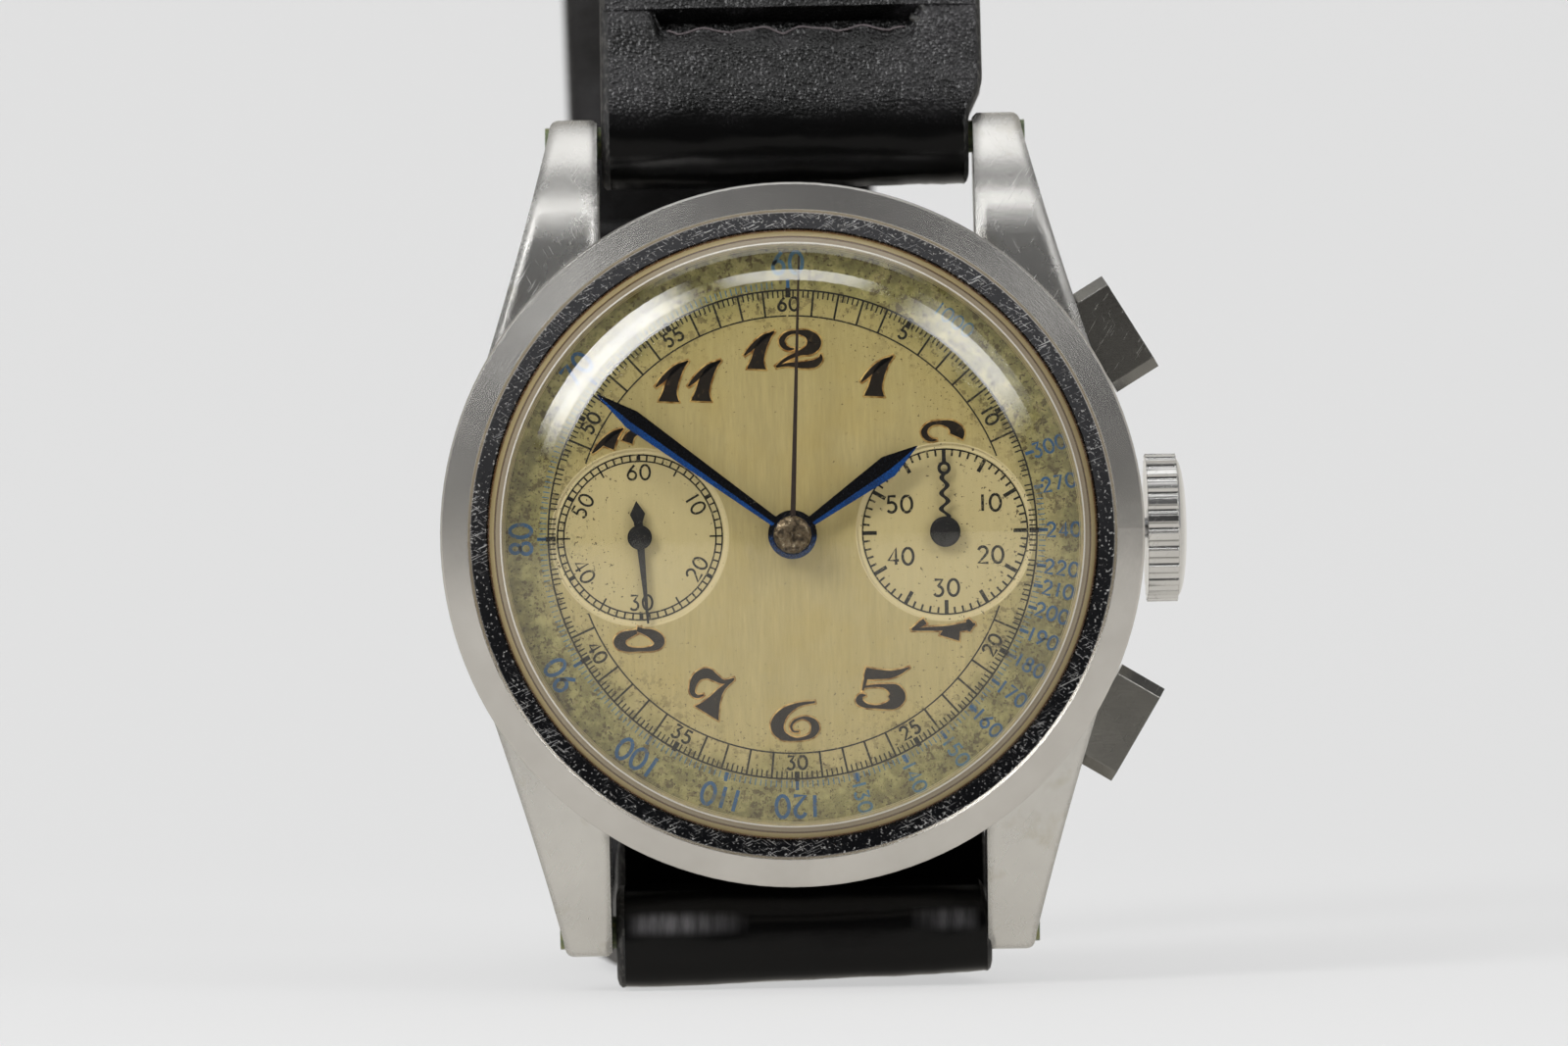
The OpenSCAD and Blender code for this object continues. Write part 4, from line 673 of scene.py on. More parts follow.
# ------------------------------------------------------------------ hour numerals, in millimetres
# Pen strokes of the hour numerals: (x, height, width) in units of the numeral's height
HOUR_STROKES = {
    "1": [[(0.33, 0.03, 0.5), (0.335, 0.1, 0.44), (0.36, 0.26, 0.33), (0.43, 0.52, 0.29),
           (0.54, 0.74, 0.24), (0.68, 0.9, 0.13), (0.81, 1.0, 0.03)],
          [(0.78, 0.97, 0.05), (0.55, 0.865, 0.12), (0.34, 0.7, 0.14), (0.16, 0.53, 0.11),
           (0.02, 0.39, 0.04)]],
    "2": [[(0.53, 0.53, 0.03), (0.4, 0.53, 0.09), (0.27, 0.61, 0.14), (0.22, 0.76, 0.15),
           (0.36, 0.92, 0.11), (0.62, 0.965, 0.1), (0.9, 0.9, 0.22), (1.05, 0.7, 0.37), (0.93, 0.51, 0.28),
           (0.66, 0.415, 0.13), (0.32, 0.27, 0.09), (0.06, 0.075, 0.06)],
          [(0.06, 0.075, 0.05), (0.36, 0.13, 0.09), (0.73, 0.11, 0.17), (1.04, 0.14, 0.2),
           (1.2, 0.26, 0.13), (1.22, 0.38, 0.03)]],
    "4": [[(0.95, 1.0, 0.05), (0.62, 0.68, 0.14), (0.28, 0.42, 0.15), (0.0, 0.25, 0.05)],
          [(0.0, 0.25, 0.05), (0.4, 0.26, 0.09), (0.9, 0.27, 0.12), (1.3, 0.3, 0.2), (1.56, 0.36, 0.05)],
          [(1.1, 0.78, 0.1), (1.06, 0.5, 0.3), (0.98, 0.22, 0.4), (0.92, 0.03, 0.5)],
          [(1.36, 0.5, 0.05), (1.42, 0.34, 0.18), (1.4, 0.18, 0.06)]],
    "5": [[(0.29, 0.857, 0.28), (0.54, 0.83, 0.24), (0.86, 0.82, 0.18), (1.11, 0.88, 0.12),
           (1.34, 0.984, 0.02)],
          [(0.31, 0.95, 0.05), (0.28, 0.68, 0.08), (0.21, 0.45, 0.04)],
          [(0.22, 0.53, 0.05), (0.5, 0.56, 0.06), (0.76, 0.54, 0.11), (0.96, 0.45, 0.3), (1.02, 0.29, 0.42),
           (0.94, 0.13, 0.28), (0.75, 0.07, 0.15), (0.52, 0.055, 0.08), (0.28, 0.09, 0.11),
           (0.13, 0.2, 0.17), (0.17, 0.32, 0.11), (0.29, 0.335, 0.02)]],
    "6": [[(1.13, 0.965, 0.05), (0.7, 0.9, 0.1), (0.34, 0.7, 0.24), (0.17, 0.4, 0.33), (0.3, 0.14, 0.22),
           (0.64, 0.04, 0.08), (0.99, 0.11, 0.12), (1.12, 0.29, 0.21), (1.07, 0.47, 0.16),
           (0.86, 0.575, 0.07), (0.62, 0.51, 0.06), (0.52, 0.36, 0.06), (0.58, 0.24, 0.05),
           (0.71, 0.225, 0.03)]],
    "7": [[(0.31, 0.43, 0.03), (0.18, 0.395, 0.07), (0.075, 0.48, 0.11), (0.09, 0.66, 0.15),
           (0.2, 0.83, 0.19), (0.4, 0.885, 0.22), (0.57, 0.79, 0.15), (0.74, 0.7, 0.09),
           (0.97, 0.76, 0.04)],
          [(0.95, 0.74, 0.04), (0.72, 0.56, 0.1), (0.56, 0.34, 0.24), (0.44, 0.14, 0.44),
           (0.37, 0.03, 0.6)]],
    "8": [[(0.6, 0.5, 0.1), (0.26, 0.38, 0.24), (0.17, 0.22, 0.3), (0.36, 0.07, 0.14), (0.68, 0.045, 0.09),
           (1.02, 0.08, 0.14), (1.16, 0.24, 0.28), (1.0, 0.42, 0.24), (0.7, 0.53, 0.12), (0.4, 0.66, 0.16),
           (0.34, 0.82, 0.16), (0.55, 0.95, 0.09), (0.85, 0.95, 0.09), (1.0, 0.82, 0.16),
           (0.92, 0.66, 0.16), (0.66, 0.52, 0.1)]],
    "0": [[(0.52, 0.96, 0.08), (0.22, 0.82, 0.22), (0.1, 0.5, 0.3), (0.24, 0.16, 0.22), (0.52, 0.04, 0.08),
           (0.82, 0.18, 0.22), (0.94, 0.5, 0.3), (0.8, 0.84, 0.22), (0.52, 0.96, 0.08)]],
}
ADVANCE = {"1": 0.78, "2": 1.3, "4": 1.55, "5": 1.35, "6": 1.24, "7": 0.98, "8": 1.32, "0": 1.06}
# Hour: (x, z, height) of each numeral's middle in millimetres. The registers cut 2, 4, 8 and 10.
HOURS = {"12": (-0.26, 9.05, 1.9), "1": (4.27, 7.66, 2.02), "2": (7.40, 4.45, 1.95), "4": (7.32, -4.28, 2.0),
         "5": (4.25, -7.62, 2.06), "6": (-0.05, -9.15, 1.96), "7": (-4.10, -7.62, 2.3),
         "8": (-7.62, -4.62, 1.95), "10": (-8.0, 4.40, 1.95), "11": (-5.02, 7.60, 2.05)}


def off_registers(point, margin):
    """True where a point in millimetres lies outside both registers by a margin."""
    nearest = math.hypot(abs(point[0]) - REGISTER_X / MM, point[1])
    return nearest >= REGISTER_R / MM + margin


def hour_numerals():
    solids = Solids(DIAL_FRONT / MM + 0.01, DIAL_FRONT / MM - 0.11)
    for text, (cx, cz, h) in HOURS.items():
        x = cx - sum(ADVANCE[c] for c in text) * h / 2
        for c in text:
            for stroke in HOUR_STROKES[c]:
                run = []
                for px, pz, w in smooth_path(stroke, 7) + [(0, 0, 0)]:
                    p = (x + px * h, cz + (pz - 0.5) * h, max(w, 0.015) * h)
                    if w > 0 and off_registers(p, 0.02 + p[2] / 2):
                        run.append(p)
                        continue
                    if len(run) > 1:
                        solids.ribbon(run, 0.085, 0, 1)
                    run = []
            x += ADVANCE[c] * h
    solids.build("hour_numerals", numeral_materials(), smooth=40)


# ------------------------------------------------------------------ printed scales, in millimetres
def arc_points(cx, cz, rx, rz, a0, a1, n=10):
    return [(cx + rx * math.cos(math.radians(a0 + (a1 - a0) * i / n)),
             cz + rz * math.sin(math.radians(a0 + (a1 - a0) * i / n))) for i in range(n + 1)]


# Pen strokes of a plain engraver's alphabet, height 1 and width about 0.6
PEN = {
    "0": [arc_points(0.32, 0.5, 0.30, 0.46, 90, 450, 20)],
    "1": [[(0.22, 0.04), (0.22, 0.96)]],
    "2": [arc_points(0.30, 0.70, 0.25, 0.26, 165, -35, 10) + [(0.05, 0.05), (0.60, 0.05)]],
    "3": [[(0.08, 0.95), (0.52, 0.95), (0.27, 0.58)] + arc_points(0.28, 0.31, 0.26, 0.27, 85, -150, 12)],
    "4": [[(0.46, 0.04), (0.46, 0.96), (0.04, 0.28), (0.62, 0.28)]],
    "5": [[(0.52, 0.95), (0.14, 0.95), (0.10, 0.52)] + arc_points(0.28, 0.33, 0.26, 0.28, 115, -145, 12)],
    "6": [[(0.46, 0.96), (0.20, 0.66)] + arc_points(0.30, 0.31, 0.26, 0.27, 160, 520, 18)],
    "7": [[(0.05, 0.95), (0.56, 0.95), (0.20, 0.04)]],
    "8": [arc_points(0.30, 0.28, 0.26, 0.24, 90, 450, 16), arc_points(0.30, 0.74, 0.21, 0.21, -90, 270, 14)],
    "9": [[(0.14, 0.04), (0.40, 0.34)] + arc_points(0.30, 0.69, 0.26, 0.27, -20, 340, 18)],
}
PEN_WIDTH = {"1": 0.44}


def pen_text(solids, text, centre, height, turn, pen, slot=0, squeeze=1.0):
    """Writes text with its middle at centre, its foot turned clockwise by turn degrees."""
    gap = 0.17
    widths = [PEN_WIDTH.get(c, 0.64) for c in text]
    x = -(sum(widths) + gap * (len(text) - 1)) / 2
    a = math.radians(turn)
    for c, w in zip(text, widths):
        for stroke in PEN[c]:
            line = []
            for px, pz in stroke:
                u, v = (x + px) * height * squeeze, (pz - 0.5) * height
                line.append((centre[0] + u * math.cos(a) + v * math.sin(a),
                             centre[1] - u * math.sin(a) + v * math.cos(a), pen))
            solids.ribbon(line, 0.0, slot, slot)
        x += w + gap


def printing(drop=0.0):
    """An empty print, as thin as ink, on the dial's face or drop millimetres below it."""
    return Solids(DIAL_FRONT / MM + 0.008 + drop, DIAL_FRONT / MM - 0.012 + drop)


def seconds_track():
    """Two circles with every second and fifth of a second, broken by the registers and by the numerals."""
    s = printing()
    middle, inner, outer = (0.0, 0.0), 10.74, 12.0
    s.arc(middle, outer, 0.085)
    shown = [k for k in range(720) if off_registers(polar(inner, k / 2), 0.12)]
    start = shown[0]
    for k, after in zip(shown, shown[1:] + [None]):
        if after != k + 1:
            s.arc(middle, inner, 0.075, start / 2, k / 2)
            start = after
    for fifth in range(300):
        angle = fifth * 1.2
        second, between = divmod(fifth, 5)
        if between:
            s.tick(middle, angle, outer - 0.36, outer, 0.072)
        elif second % 5:
            if off_registers(polar(inner, angle), 0.1):
                s.tick(middle, angle, inner, outer, 0.1)
        else:
            s.tick(middle, angle, outer - 0.36, outer + 0.12, 0.24)
            below = 100 < angle < 260
            if second not in (15, 45):
                place = polar(11.2 if below else 11.32, angle)
                pen_text(s, str(second or 60), place, 0.7, angle + 180 * below, 0.125)
    s.build("seconds_track", [BLACK_INK])


def register_print():
    """The running seconds' railway on the left and the sixty-minute scale on the right."""
    s = printing(REGISTER_DROP / MM)
    left, right = (-REGISTER_X / MM, 0.0), (REGISTER_X / MM, 0.0)
    rail, rim = 3.74, 4.05
    for centre, r in ((left, rim), (left, rail), (right, rim)):
        s.arc(centre, r, 0.075, step=2.0)
    for k in range(60):
        angle = k * 6
        s.tick(left, angle, rail, rim, 0.085 if k % 10 else 0.19)
        if k % 10 == 5:
            s.tick(left, angle, rail - 0.32, rail, 0.085)
        s.tick(right, angle, 3.72 if k % 5 else 3.36, rim, 0.1 if k % 5 else 0.19)
    upright = {10: (2.62, 58), 20: (2.5, 118), 30: (2.75, 180), 40: (2.5, 242), 50: (2.62, 302)}
    for value in range(10, 61, 10):
        angle = value * 6 % 360
        below = 100 < angle < 260
        pen_text(s, str(value), polar(3.2, angle, left), 0.78, angle + 180 * below, 0.11)
        if value in upright:
            pen_text(s, str(value), polar(*upright[value], right), 0.88, 0, 0.135)
    s.build("register_print", [BLACK_INK])


def tachymeter():
    """Blue scale: a speed stands at the second in which one unit of road is covered, 3600 / speed."""
    s = printing()
    middle, inner, outer, blue, pale = (0.0, 0.0), 12.1, 12.55, 0, 1
    for k in range(300):
        if 80 <= k * 1.2 <= 357:
            s.tick(middle, k * 1.2, inner, outer - 0.12, 0.05, pale)
    for speed in [60, 70, 80, 90, 100, 110, 120] + list(range(130, 221, 10)) + [240, 270, 300]:
        angle = 3600 / speed * 6 % 360
        s.tick(middle, angle, inner, outer, 0.16, blue)
        if speed <= 120:
            ink = pale if speed == 60 else blue
            pen_text(s, str(speed), polar(13.35, angle), 1.16, angle, 0.18, ink, 0.9)
        else:
            ink = blue if speed > 150 else pale
            pen_text(s, str(speed), polar(13.32, angle), 0.74, angle - 90, 0.125, ink)
    pen_text(s, "1000", polar(13.2, 38), 0.75, 38, 0.09, pale)
    s.build("tachymeter_scale", [BLUE_INK, PALE_BLUE_INK])


# ------------------------------------------------------------------ hands
def revolved(profile, steps, place, closed, start=0):
    """Vertices and faces of a profile turned about an axis. place(point, cosine, sine) sets one vertex."""
    verts, faces, n = [], [], len(profile)
    for i in range(steps):
        t = TAU * i / steps
        verts += [place(point, math.cos(t), math.sin(t)) for point in profile]
        a, b = start + i * n, start + (i + 1) % steps * n
        faces += [[a + k, b + k, b + (k + 1) % n, a + (k + 1) % n] for k in range(n if closed else n - 1)]
    return verts, faces


def ridged_hand(name, node, outline, y_base, edge_h, ridge_h, hub_r, bore_r, material, body):
    """A central hand with a ridge, in place of a CAD one. outline is (distance from the hub, half width)."""
    pivot = joints["minute_hand_turn"]["pos_m"]
    a = math.radians(hand_angle(node, pivot))
    along, across = Vector((math.sin(a), 0, math.cos(a))), Vector((math.cos(a), 0, -math.sin(a)))
    origin = Vector((pivot[0], y_base, pivot[2]))
    toward = Vector((0, -1, 0))
    aside = math.copysign(0.3, -across.z)  # the ridge lies nearer the lower side
    verts, faces = [], []
    for d, w in outline:
        c = origin + along * d
        ridge = c + across * w * aside + toward * (edge_h + ridge_h * min(1, w / (0.4 * MM)))
        verts += [c - across * w, c - across * w + toward * edge_h, ridge,
                  c + across * w + toward * edge_h, c + across * w]
    for i in range(len(outline) - 1):
        a0, b0 = 5 * i, 5 * (i + 1)
        faces += [[a0 + k, a0 + k + 1, b0 + k + 1, b0 + k] for k in range(4)] + [[a0 + 4, a0, b0, b0 + 4]]
    faces.append([0, 4, 3, 2, 1])
    last = 5 * (len(outline) - 1)
    faces.append([last + k for k in range(5)])
    profile = [(bore_r, 0), (bore_r, edge_h + ridge_h * 0.7), (bore_r + 0.06 * MM, edge_h + ridge_h),
               (hub_r - 0.12 * MM, edge_h + ridge_h), (hub_r, edge_h), (hub_r, 0)]

    def place(point, cosine, sine):
        return origin + Vector((point[0] * cosine, -point[1], point[0] * sine))
    hub_verts, hub_faces = revolved(profile, 64, place, True, len(verts))
    obj = new_object(name, verts + hub_verts, faces + hub_faces, [material], smooth=12)
    attach(obj, body, "blued_steel", node)


def lathe(name, pivot, profile, material, body, slot_name, steps=96):
    """A turned piece about the line along Y through pivot. profile is (radius, y)."""
    def place(point, cosine, sine):
        return (pivot[0] + point[0] * cosine, point[1], pivot[2] + point[0] * sine)
    verts, faces = revolved(profile, steps, place, False)
    obj = new_object(name, verts, faces, [material], smooth=30)
    mod = obj.modifiers.new("weld", "WELD")
    mod.merge_threshold = 0.0005 * MM
    attach(obj, body, slot_name)


def hand_angle(node, pivot):
    """The dial angle of a hand's point, from its farthest vertex."""
    far = max((v.co for v in nodes[node].data.vertices),
              key=lambda c: math.hypot(c.x - pivot[0], c.z - pivot[2]))
    return math.degrees(math.atan2(far.x - pivot[0], far.z - pivot[2]))


def hand_length(node, pivot):
    return max(math.hypot(v.co.x - pivot[0], v.co.z - pivot[2]) for v in nodes[node].data.vertices)


def hands():
    centre = joints["minute_hand_turn"]["pos_m"]
    for node, body, wide, widest_at, hub_r, bore_r in (("hour_hand", "hour", 0.56, 1.75, 1.2, 0.62),
                                                       ("minute_hand", "minute", 0.48, 2.1, 1.1, 0.42)):
        length = hand_length(node, centre)
        outline = [(0.9 * MM, 0.235 * MM), (length - widest_at * MM, wide * MM),
                   (length - (widest_at - 0.28) * MM, wide * 0.86 * MM),
                   (length - 0.08 * MM, 0.05 * MM), (length, 0.012 * MM)]
        ridged_hand(node + "_ridged", node, outline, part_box(node)[1].y, 0.08 * MM, 0.12 * MM,
                    hub_r * MM, bore_r * MM, BLUED, body)
    length = hand_length("chrono_seconds_hand", centre)
    low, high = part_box("chrono_seconds_hand")
    ridged_hand("chronograph_needle", "chrono_seconds_hand", [(0.8 * MM, 0.13 * MM), (length, 0.045 * MM)],
                low.y + 0.36 * MM, 0.06 * MM, 0.1 * MM, 0.9 * MM, 0.2 * MM, BROWN_HAND, "runner")
    cap = [(0.0, low.y - 0.02 * MM), (0.3 * MM, low.y - 0.015 * MM), (0.62 * MM, low.y + 0.04 * MM),
           (0.86 * MM, low.y + 0.17 * MM), (0.92 * MM, low.y + 0.3 * MM), (0.92 * MM, high.y), (0.0, high.y)]
    lathe("chronograph_hub", centre, cap, HUB_STEEL, "runner", "blued_steel")


def small_hubs():
    for name, node, joint, r, body in (
            ("running_seconds_hub", "running_seconds_hand", "running_seconds", 0.6, "fourth"),
            ("counter_hub", "minute_counter_hand", "chronograph_minutes", 0.75, "recorder")):
        low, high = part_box(node)
        cap = [(0.0, low.y - 0.1 * MM), (0.25 * r * MM, low.y - 0.1 * MM), (0.8 * r * MM, low.y - 0.04 * MM),
               (r * MM, low.y + 0.08 * MM), (r * MM, high.y), (0.0, high.y)]
        lathe(name, joints[joint]["pos_m"], cap, BLACK_HAND, body, "black_lacquer", steps=64)


def pitted_hub(name):
    """A hub whose plating has turned brown and pitted, with bright glints left."""
    s = Shader(name)
    pits = s.noise(3600, 5.0, 0.65)
    shade = s.ramp(pits, [(0.38, (0.030, 0.022, 0.014)), (0.50, (0.13, 0.095, 0.06)),
                          (0.62, (0.24, 0.19, 0.13)), (0.68, (0.55, 0.50, 0.42))])
    return s.finish(Base_Color=shade, Metallic=0.8, Roughness=s.span(pits, 0.4, 0.6, 0.5, 0.25),
                    Normal=s.bump(pits, 0.05 * MM, 0.9))


HUB_STEEL = pitted_hub("pitted_hub")


# ------------------------------------------------------------------ leather strap, drawn in millimetres
bar_y, bar_z, floor_z = BAR_Y / MM, BAR_Z / MM, FLOOR_Z / MM
back_y, loop_r, drift = BACK_Y / MM, LOOP_R / MM, DRIFT / MM
leather_t, fold_r = LEATHER / MM, FOLD_R / MM
strap_half, strap_end_half = STRAP_W / MM / 2, STRAP_END_W / MM / 2
flap_len = 5.9  # from the bar's axis to the cut end of the flap
glue_gap = 0.03
heel_r = 10  # bend from the floor up to the back of the loop
layer_shift = 2.4  # how far the tail steps out over the buckle end
tail_tip = 30  # degrees of the upper bend that the tail covers
tail_half_t = 1.1
lip_half = 5.9  # half width of the flap's free lip
lip_shift = -0.2
hole_pitch = 6.2
hole_r = 0.95
tongue_slot = 1.2  # half width
band_padding = 4.2  # behind the lower bar
base_z = floor_z + leather_t + glue_gap
buckle_len = math.pi * loop_r + bar_z
tail_taper = back_y - bar_y - heel_r + math.pi / 2 * heel_r


def pad(s, total):
    return 1.5 - 0.4 * ease(s / total)


def half_width(s, total):
    return strap_half - (strap_half - strap_end_half) * ease(s / total)


def parting(s):
    """Half the gap between the two layers, at a distance s from the bar."""
    return glue_gap + (fold_r - glue_gap) * (1 - ease(s / 4.6))


def lip_end(x):
    """Where the flap's cut end lies: a wavy lip, and wings at its sides that run up to meet the band."""
    wave = 0.26 * abs(math.sin(x * 1.25 + 0.4)) - 0.1 + 0.05 * math.sin(x * 4.1)
    return flap_len - 0.75 + wave + (1.95 - wave) * ease((abs(x - lip_shift) - lip_half) / 0.7)


def recess(s, x):
    """The hollow above the lip, a little wider towards its far end."""
    wide = lip_half + 0.35 * (s - flap_len)
    return 0.6 * (1 - ease((abs(x - lip_shift) - wide + 0.3) / 0.45)) * (1 - ease((s - 10.5) / 1.6))


def fixed(*station):
    """A station of the band that is the same across its width."""
    return lambda x: station


def upper_station(s, side, off, t_in, t_out, w):
    """A station a distance s from the upper bar, off millimetres from the loop's middle line."""
    a = s / loop_r
    y, z = bar_y + loop_r - loop_r * math.cos(a), bar_z + loop_r * math.sin(a)
    n = math.pi - a if side > 0 else -a
    return (y + off * math.cos(n), z + off * math.sin(n), n, t_out, t_in, w)


def skive(i, n):
    """Share of the thickness left near the flap's cut end."""
    return 0.72 + 0.28 * ease(i / n * 5)


def flap_station(x, share, thickness):
    """A station on the front flap, at a share of the way from the bar to the lip."""
    s = lip_end(x) * share
    return upper_station(s, 1, parting(s), 0, thickness, strap_half)


def on_fold(z, a):
    """The point at an angle on the inside of the fold round the bar at height z."""
    return (bar_y + fold_r * math.cos(a), z + fold_r * math.sin(a))


def buckle_side_stations():
    """From the flap's lip down the front, round the upper bar, then over the top to the buckle's pin."""
    flap, turn, bend, down = 30, 16, 96, 14
    out = [lambda x, share=1 - i / flap, t=leather_t * skive(i, flap): flap_station(x, share, t)
           for i in range(flap + 1)]
    for i in range(1, turn):
        a = math.pi + math.pi * i / turn
        out.append(fixed(*on_fold(bar_z, a), a, leather_t, 0, strap_half))
    for i in range(11):
        s = (flap_len + 0.1) * i / 10
        out.append(fixed(*upper_station(s, -1, parting(s), 0, leather_t, strap_half)))
    start = flap_len + 0.35
    for i in range(bend + 1):
        s = start + (math.pi * loop_r - start) * (i / bend) ** 1.25
        t, w = pad(s, buckle_len), half_width(s, buckle_len)
        out.append(lambda x, s=s, t=t, w=w: upper_station(s, -1, 0, t, t - recess(s, x), w))
    for i in range(1, down + 1):
        z = bar_z - (bar_z - 0.9) * i / down
        s = buckle_len - z
        t = pad(s, buckle_len)
        out.append(fixed(back_y, z, math.pi, t, t, half_width(s, buckle_len)))
    return out


def tail_y(z):
    z0 = base_z + heel_r + 1
    return back_y + layer_shift * ease((z - z0) / (-1.4 - z0))


def pressed(a):
    """Extra thickness below the lower bar, where the watch's weight squares the fold."""
    if a < math.pi:
        return 0.0
    return (fold_r + leather_t) * ((math.cos(a) ** 4 + math.sin(a) ** 4) ** -0.25 - 1)


def padding(s):
    """The band's extra thickness just behind the case, which closes the view between the lower lugs."""
    return band_padding * ease((s - 2.3) / 0.9) * (1 - ease((s - 3.6) / 13))


def tail_side_stations():
    """From the flap on the floor, round the lower bar, back along the floor and up to the pointed tail."""
    flap, turn, flat, heel, rise, bend = 14, 20, 26, 26, 60, 30
    out = [fixed(bar_y + flap_len * (1 - i / flap), floor_z + leather_t, -math.pi / 2,
                 leather_t * skive(i, flap), 0, strap_half) for i in range(flap + 1)]
    for i in range(1, turn):
        a = math.radians(270 - 180 * i / turn)
        out.append(fixed(*on_fold(-bar_z, a), a, leather_t + pressed(a), 0, strap_half))
    for i in range(25):
        s = (flap_len + 0.1) * i / 24
        inner = floor_z + leather_t + 2 * parting(s)
        out.append(fixed(bar_y + s, inner, math.pi / 2, leather_t + padding(s), 0, strap_half))
    for i in range(flat + 1):
        y0 = bar_y + flap_len + 0.35
        y = y0 + (back_y - heel_r - y0) * i / flat
        w = half_width(y - bar_y, tail_taper)
        t = leather_t + padding(y - bar_y)
        out.append(fixed(y, base_z, math.pi / 2, t, leather_t + glue_gap - 0.02, w))
    for i in range(1, heel + 1):
        a = math.pi / 2 * i / heel
        s = back_y - bar_y - heel_r + heel_r * a
        t = leather_t - 0.4 * ease(i / heel)
        y, z = back_y - heel_r + heel_r * math.sin(a), base_z + heel_r - heel_r * math.cos(a)
        out.append(fixed(y, z, math.pi / 2 + a, t, t, half_width(s, tail_taper)))
    z0 = base_z + heel_r
    for i in range(1, rise + 1):
        z = z0 + (bar_z - z0) * i / rise
        lean = math.atan2(tail_y(z + 0.2) - tail_y(z - 0.2), 0.4)
        out.append(fixed(tail_y(z), z, math.pi - lean, tail_half_t, tail_half_t, strap_end_half))
    for i in range(1, bend + 1):
        a = math.radians(tail_tip * i / bend)
        r = loop_r + layer_shift + 0.35 * ease(i / bend * 1.5)
        point = math.sqrt(max(0.012, 1 - max(0.0, (i / bend - 0.66) / 0.345) ** 2))
        y, z = bar_y + loop_r + r * math.cos(a), bar_z + r * math.sin(a)
        thin = tail_half_t - 0.25 * ease((i / bend - 0.8) * 5)
        out.append(fixed(y, z, math.pi + a, thin, thin, strap_end_half * point))
    return out


def spread(y, z):
    """How far the leather swells to the right of the lug gap, beyond the upper and the lower lugs."""
    upper = 0.37 * ease((z - bar_z - 0.6) / 2.2) * (1 - ease((y - 6) / 14))
    lower = 0.2 * ease((-z - 18.4) / 1.5) * (1 - ease(y / 6))
    return upper + lower


def sag(x, y, z):
    """The lower fold hangs a little lower on the left."""
    return (0.6 * (0.5 - 0.5 * x / strap_half) - 0.12) * ease((-z - 18.6) / 2.4) * (1 - ease((y - 1) / 6))


def leather_band(name, stations, columns, ripple, replaced):
    """Sweeps a section with rounded edges through stations, functions of x that give
    (y, z, normal angle, thickness along the normal, thickness against it, half width)."""
    edge, edge_steps = 0.42, 7
    verts, faces, slots = [], [], []
    around = 2 * (columns + 1) + 2 * (edge_steps - 1)

    def place(station, x, n_share):
        y, z, a, t_out, t_in, w = station(x)
        n = (t_out - t_in) / 2 + n_share * (t_out + t_in) / 2
        p = Vector((x - drift * ease(y / back_y), y + n * math.cos(a), z + n * math.sin(a)))
        p.x += spread(y, z) * (1 + x / strap_half)
        p.z -= sag(x, y, z)
        lump = ripple * (noise.noise(p * 0.55) * 0.6 + noise.noise(p * Vector((0.9, 2.2, 2.2)).length) * 0.4)
        lump += ripple * 0.5 * noise.noise(Vector((p.x * 0.5, p.y * 2.4, p.z * 2.4)))
        return p + Vector((0, math.cos(a), math.sin(a))) * lump * n_share

    for station in stations:
        w = station(0.0)[5]
        e = min(edge, w * 0.6)
        for face in (1, -1):
            for j in range(columns + 1):
                u = face * (2 * j / columns - 1)
                verts.append(place(station, u * (w - e), face * (1 - 0.09 * abs(u) ** 8)))
            for k in range(1, edge_steps):
                f = face * math.pi / 2 - math.pi * k / edge_steps
                bulge = math.copysign(abs(math.sin(f)) ** 0.6, math.sin(f))
                verts.append(place(station, face * (w - e) + e * math.cos(f), bulge))
    for i in range(len(stations) - 1):
        for k in range(around):
            a, b = i * around + k, i * around + (k + 1) % around
            faces.append([a, b, b + around, a + around])
            on_edge = columns < k < columns + edge_steps - 1 or k > 2 * columns + edge_steps
            slots.append(1 if on_edge else 0)
    back = columns + edge_steps
    for start, flip in ((0, True), ((len(stations) - 1) * around, False)):
        caps = [[start + j, start + j + 1, start + back + columns - j - 1, start + back + columns - j]
                for j in range(columns)]
        caps.append([start + k for k in range(columns, back + 1)])
        caps.append([start + k % around for k in range(back + columns, around + 1)])
        faces += [list(reversed(c)) for c in caps] if flip else caps
        slots += [1] * len(caps)
    leather = [LEATHER_SKIN, LEATHER_EDGE]
    obj = new_object(name, [v * MM for v in verts], faces, leather, smooth=50, face_slots=slots)
    attach(obj, "head", "black_leather", replaced)


def cut(obj, outline, near, far):
    """Cuts a prism out of obj, an (x, z) outline in millimetres that reaches from near to far along Y."""
    solids = Solids(near, far)
    solids.prism(outline)
    tool = solids.object("cutting_tool", [LEATHER_EDGE])
    mod = obj.modifiers.new("cut", "BOOLEAN")
    mod.operation, mod.solver, mod.object = "DIFFERENCE", "EXACT", tool
    bpy.context.view_layer.update()
    evaluated = obj.evaluated_get(bpy.context.evaluated_depsgraph_get())
    mesh = bpy.data.meshes.new_from_object(evaluated)
    obj.modifiers.clear()
    obj.data = mesh
    bpy.data.objects.remove(tool)


def punch(obj):
    """The tail's five holes, the lowest worn into a slot by the tongue."""
    for i in range(5):
        z = -4.4 + i * hole_pitch
        low = z if i else z - 2.6
        ring = [polar(hole_r, 360 * k / 24, (-drift, z if k < 6 or k > 18 else low))
                for k in reversed(range(24))]
        cut(obj, ring, back_y + 6, back_y - 4)


def notch(obj):
    """The slot through the pin end of the buckle side, where the tongue swings."""
    left, right, top, bottom = -drift - tongue_slot, -drift + tongue_slot, 2.6, -3
    cut(obj, [(left, bottom), (right, bottom), (right, top), (left, top)], back_y + 3, back_y - 3)


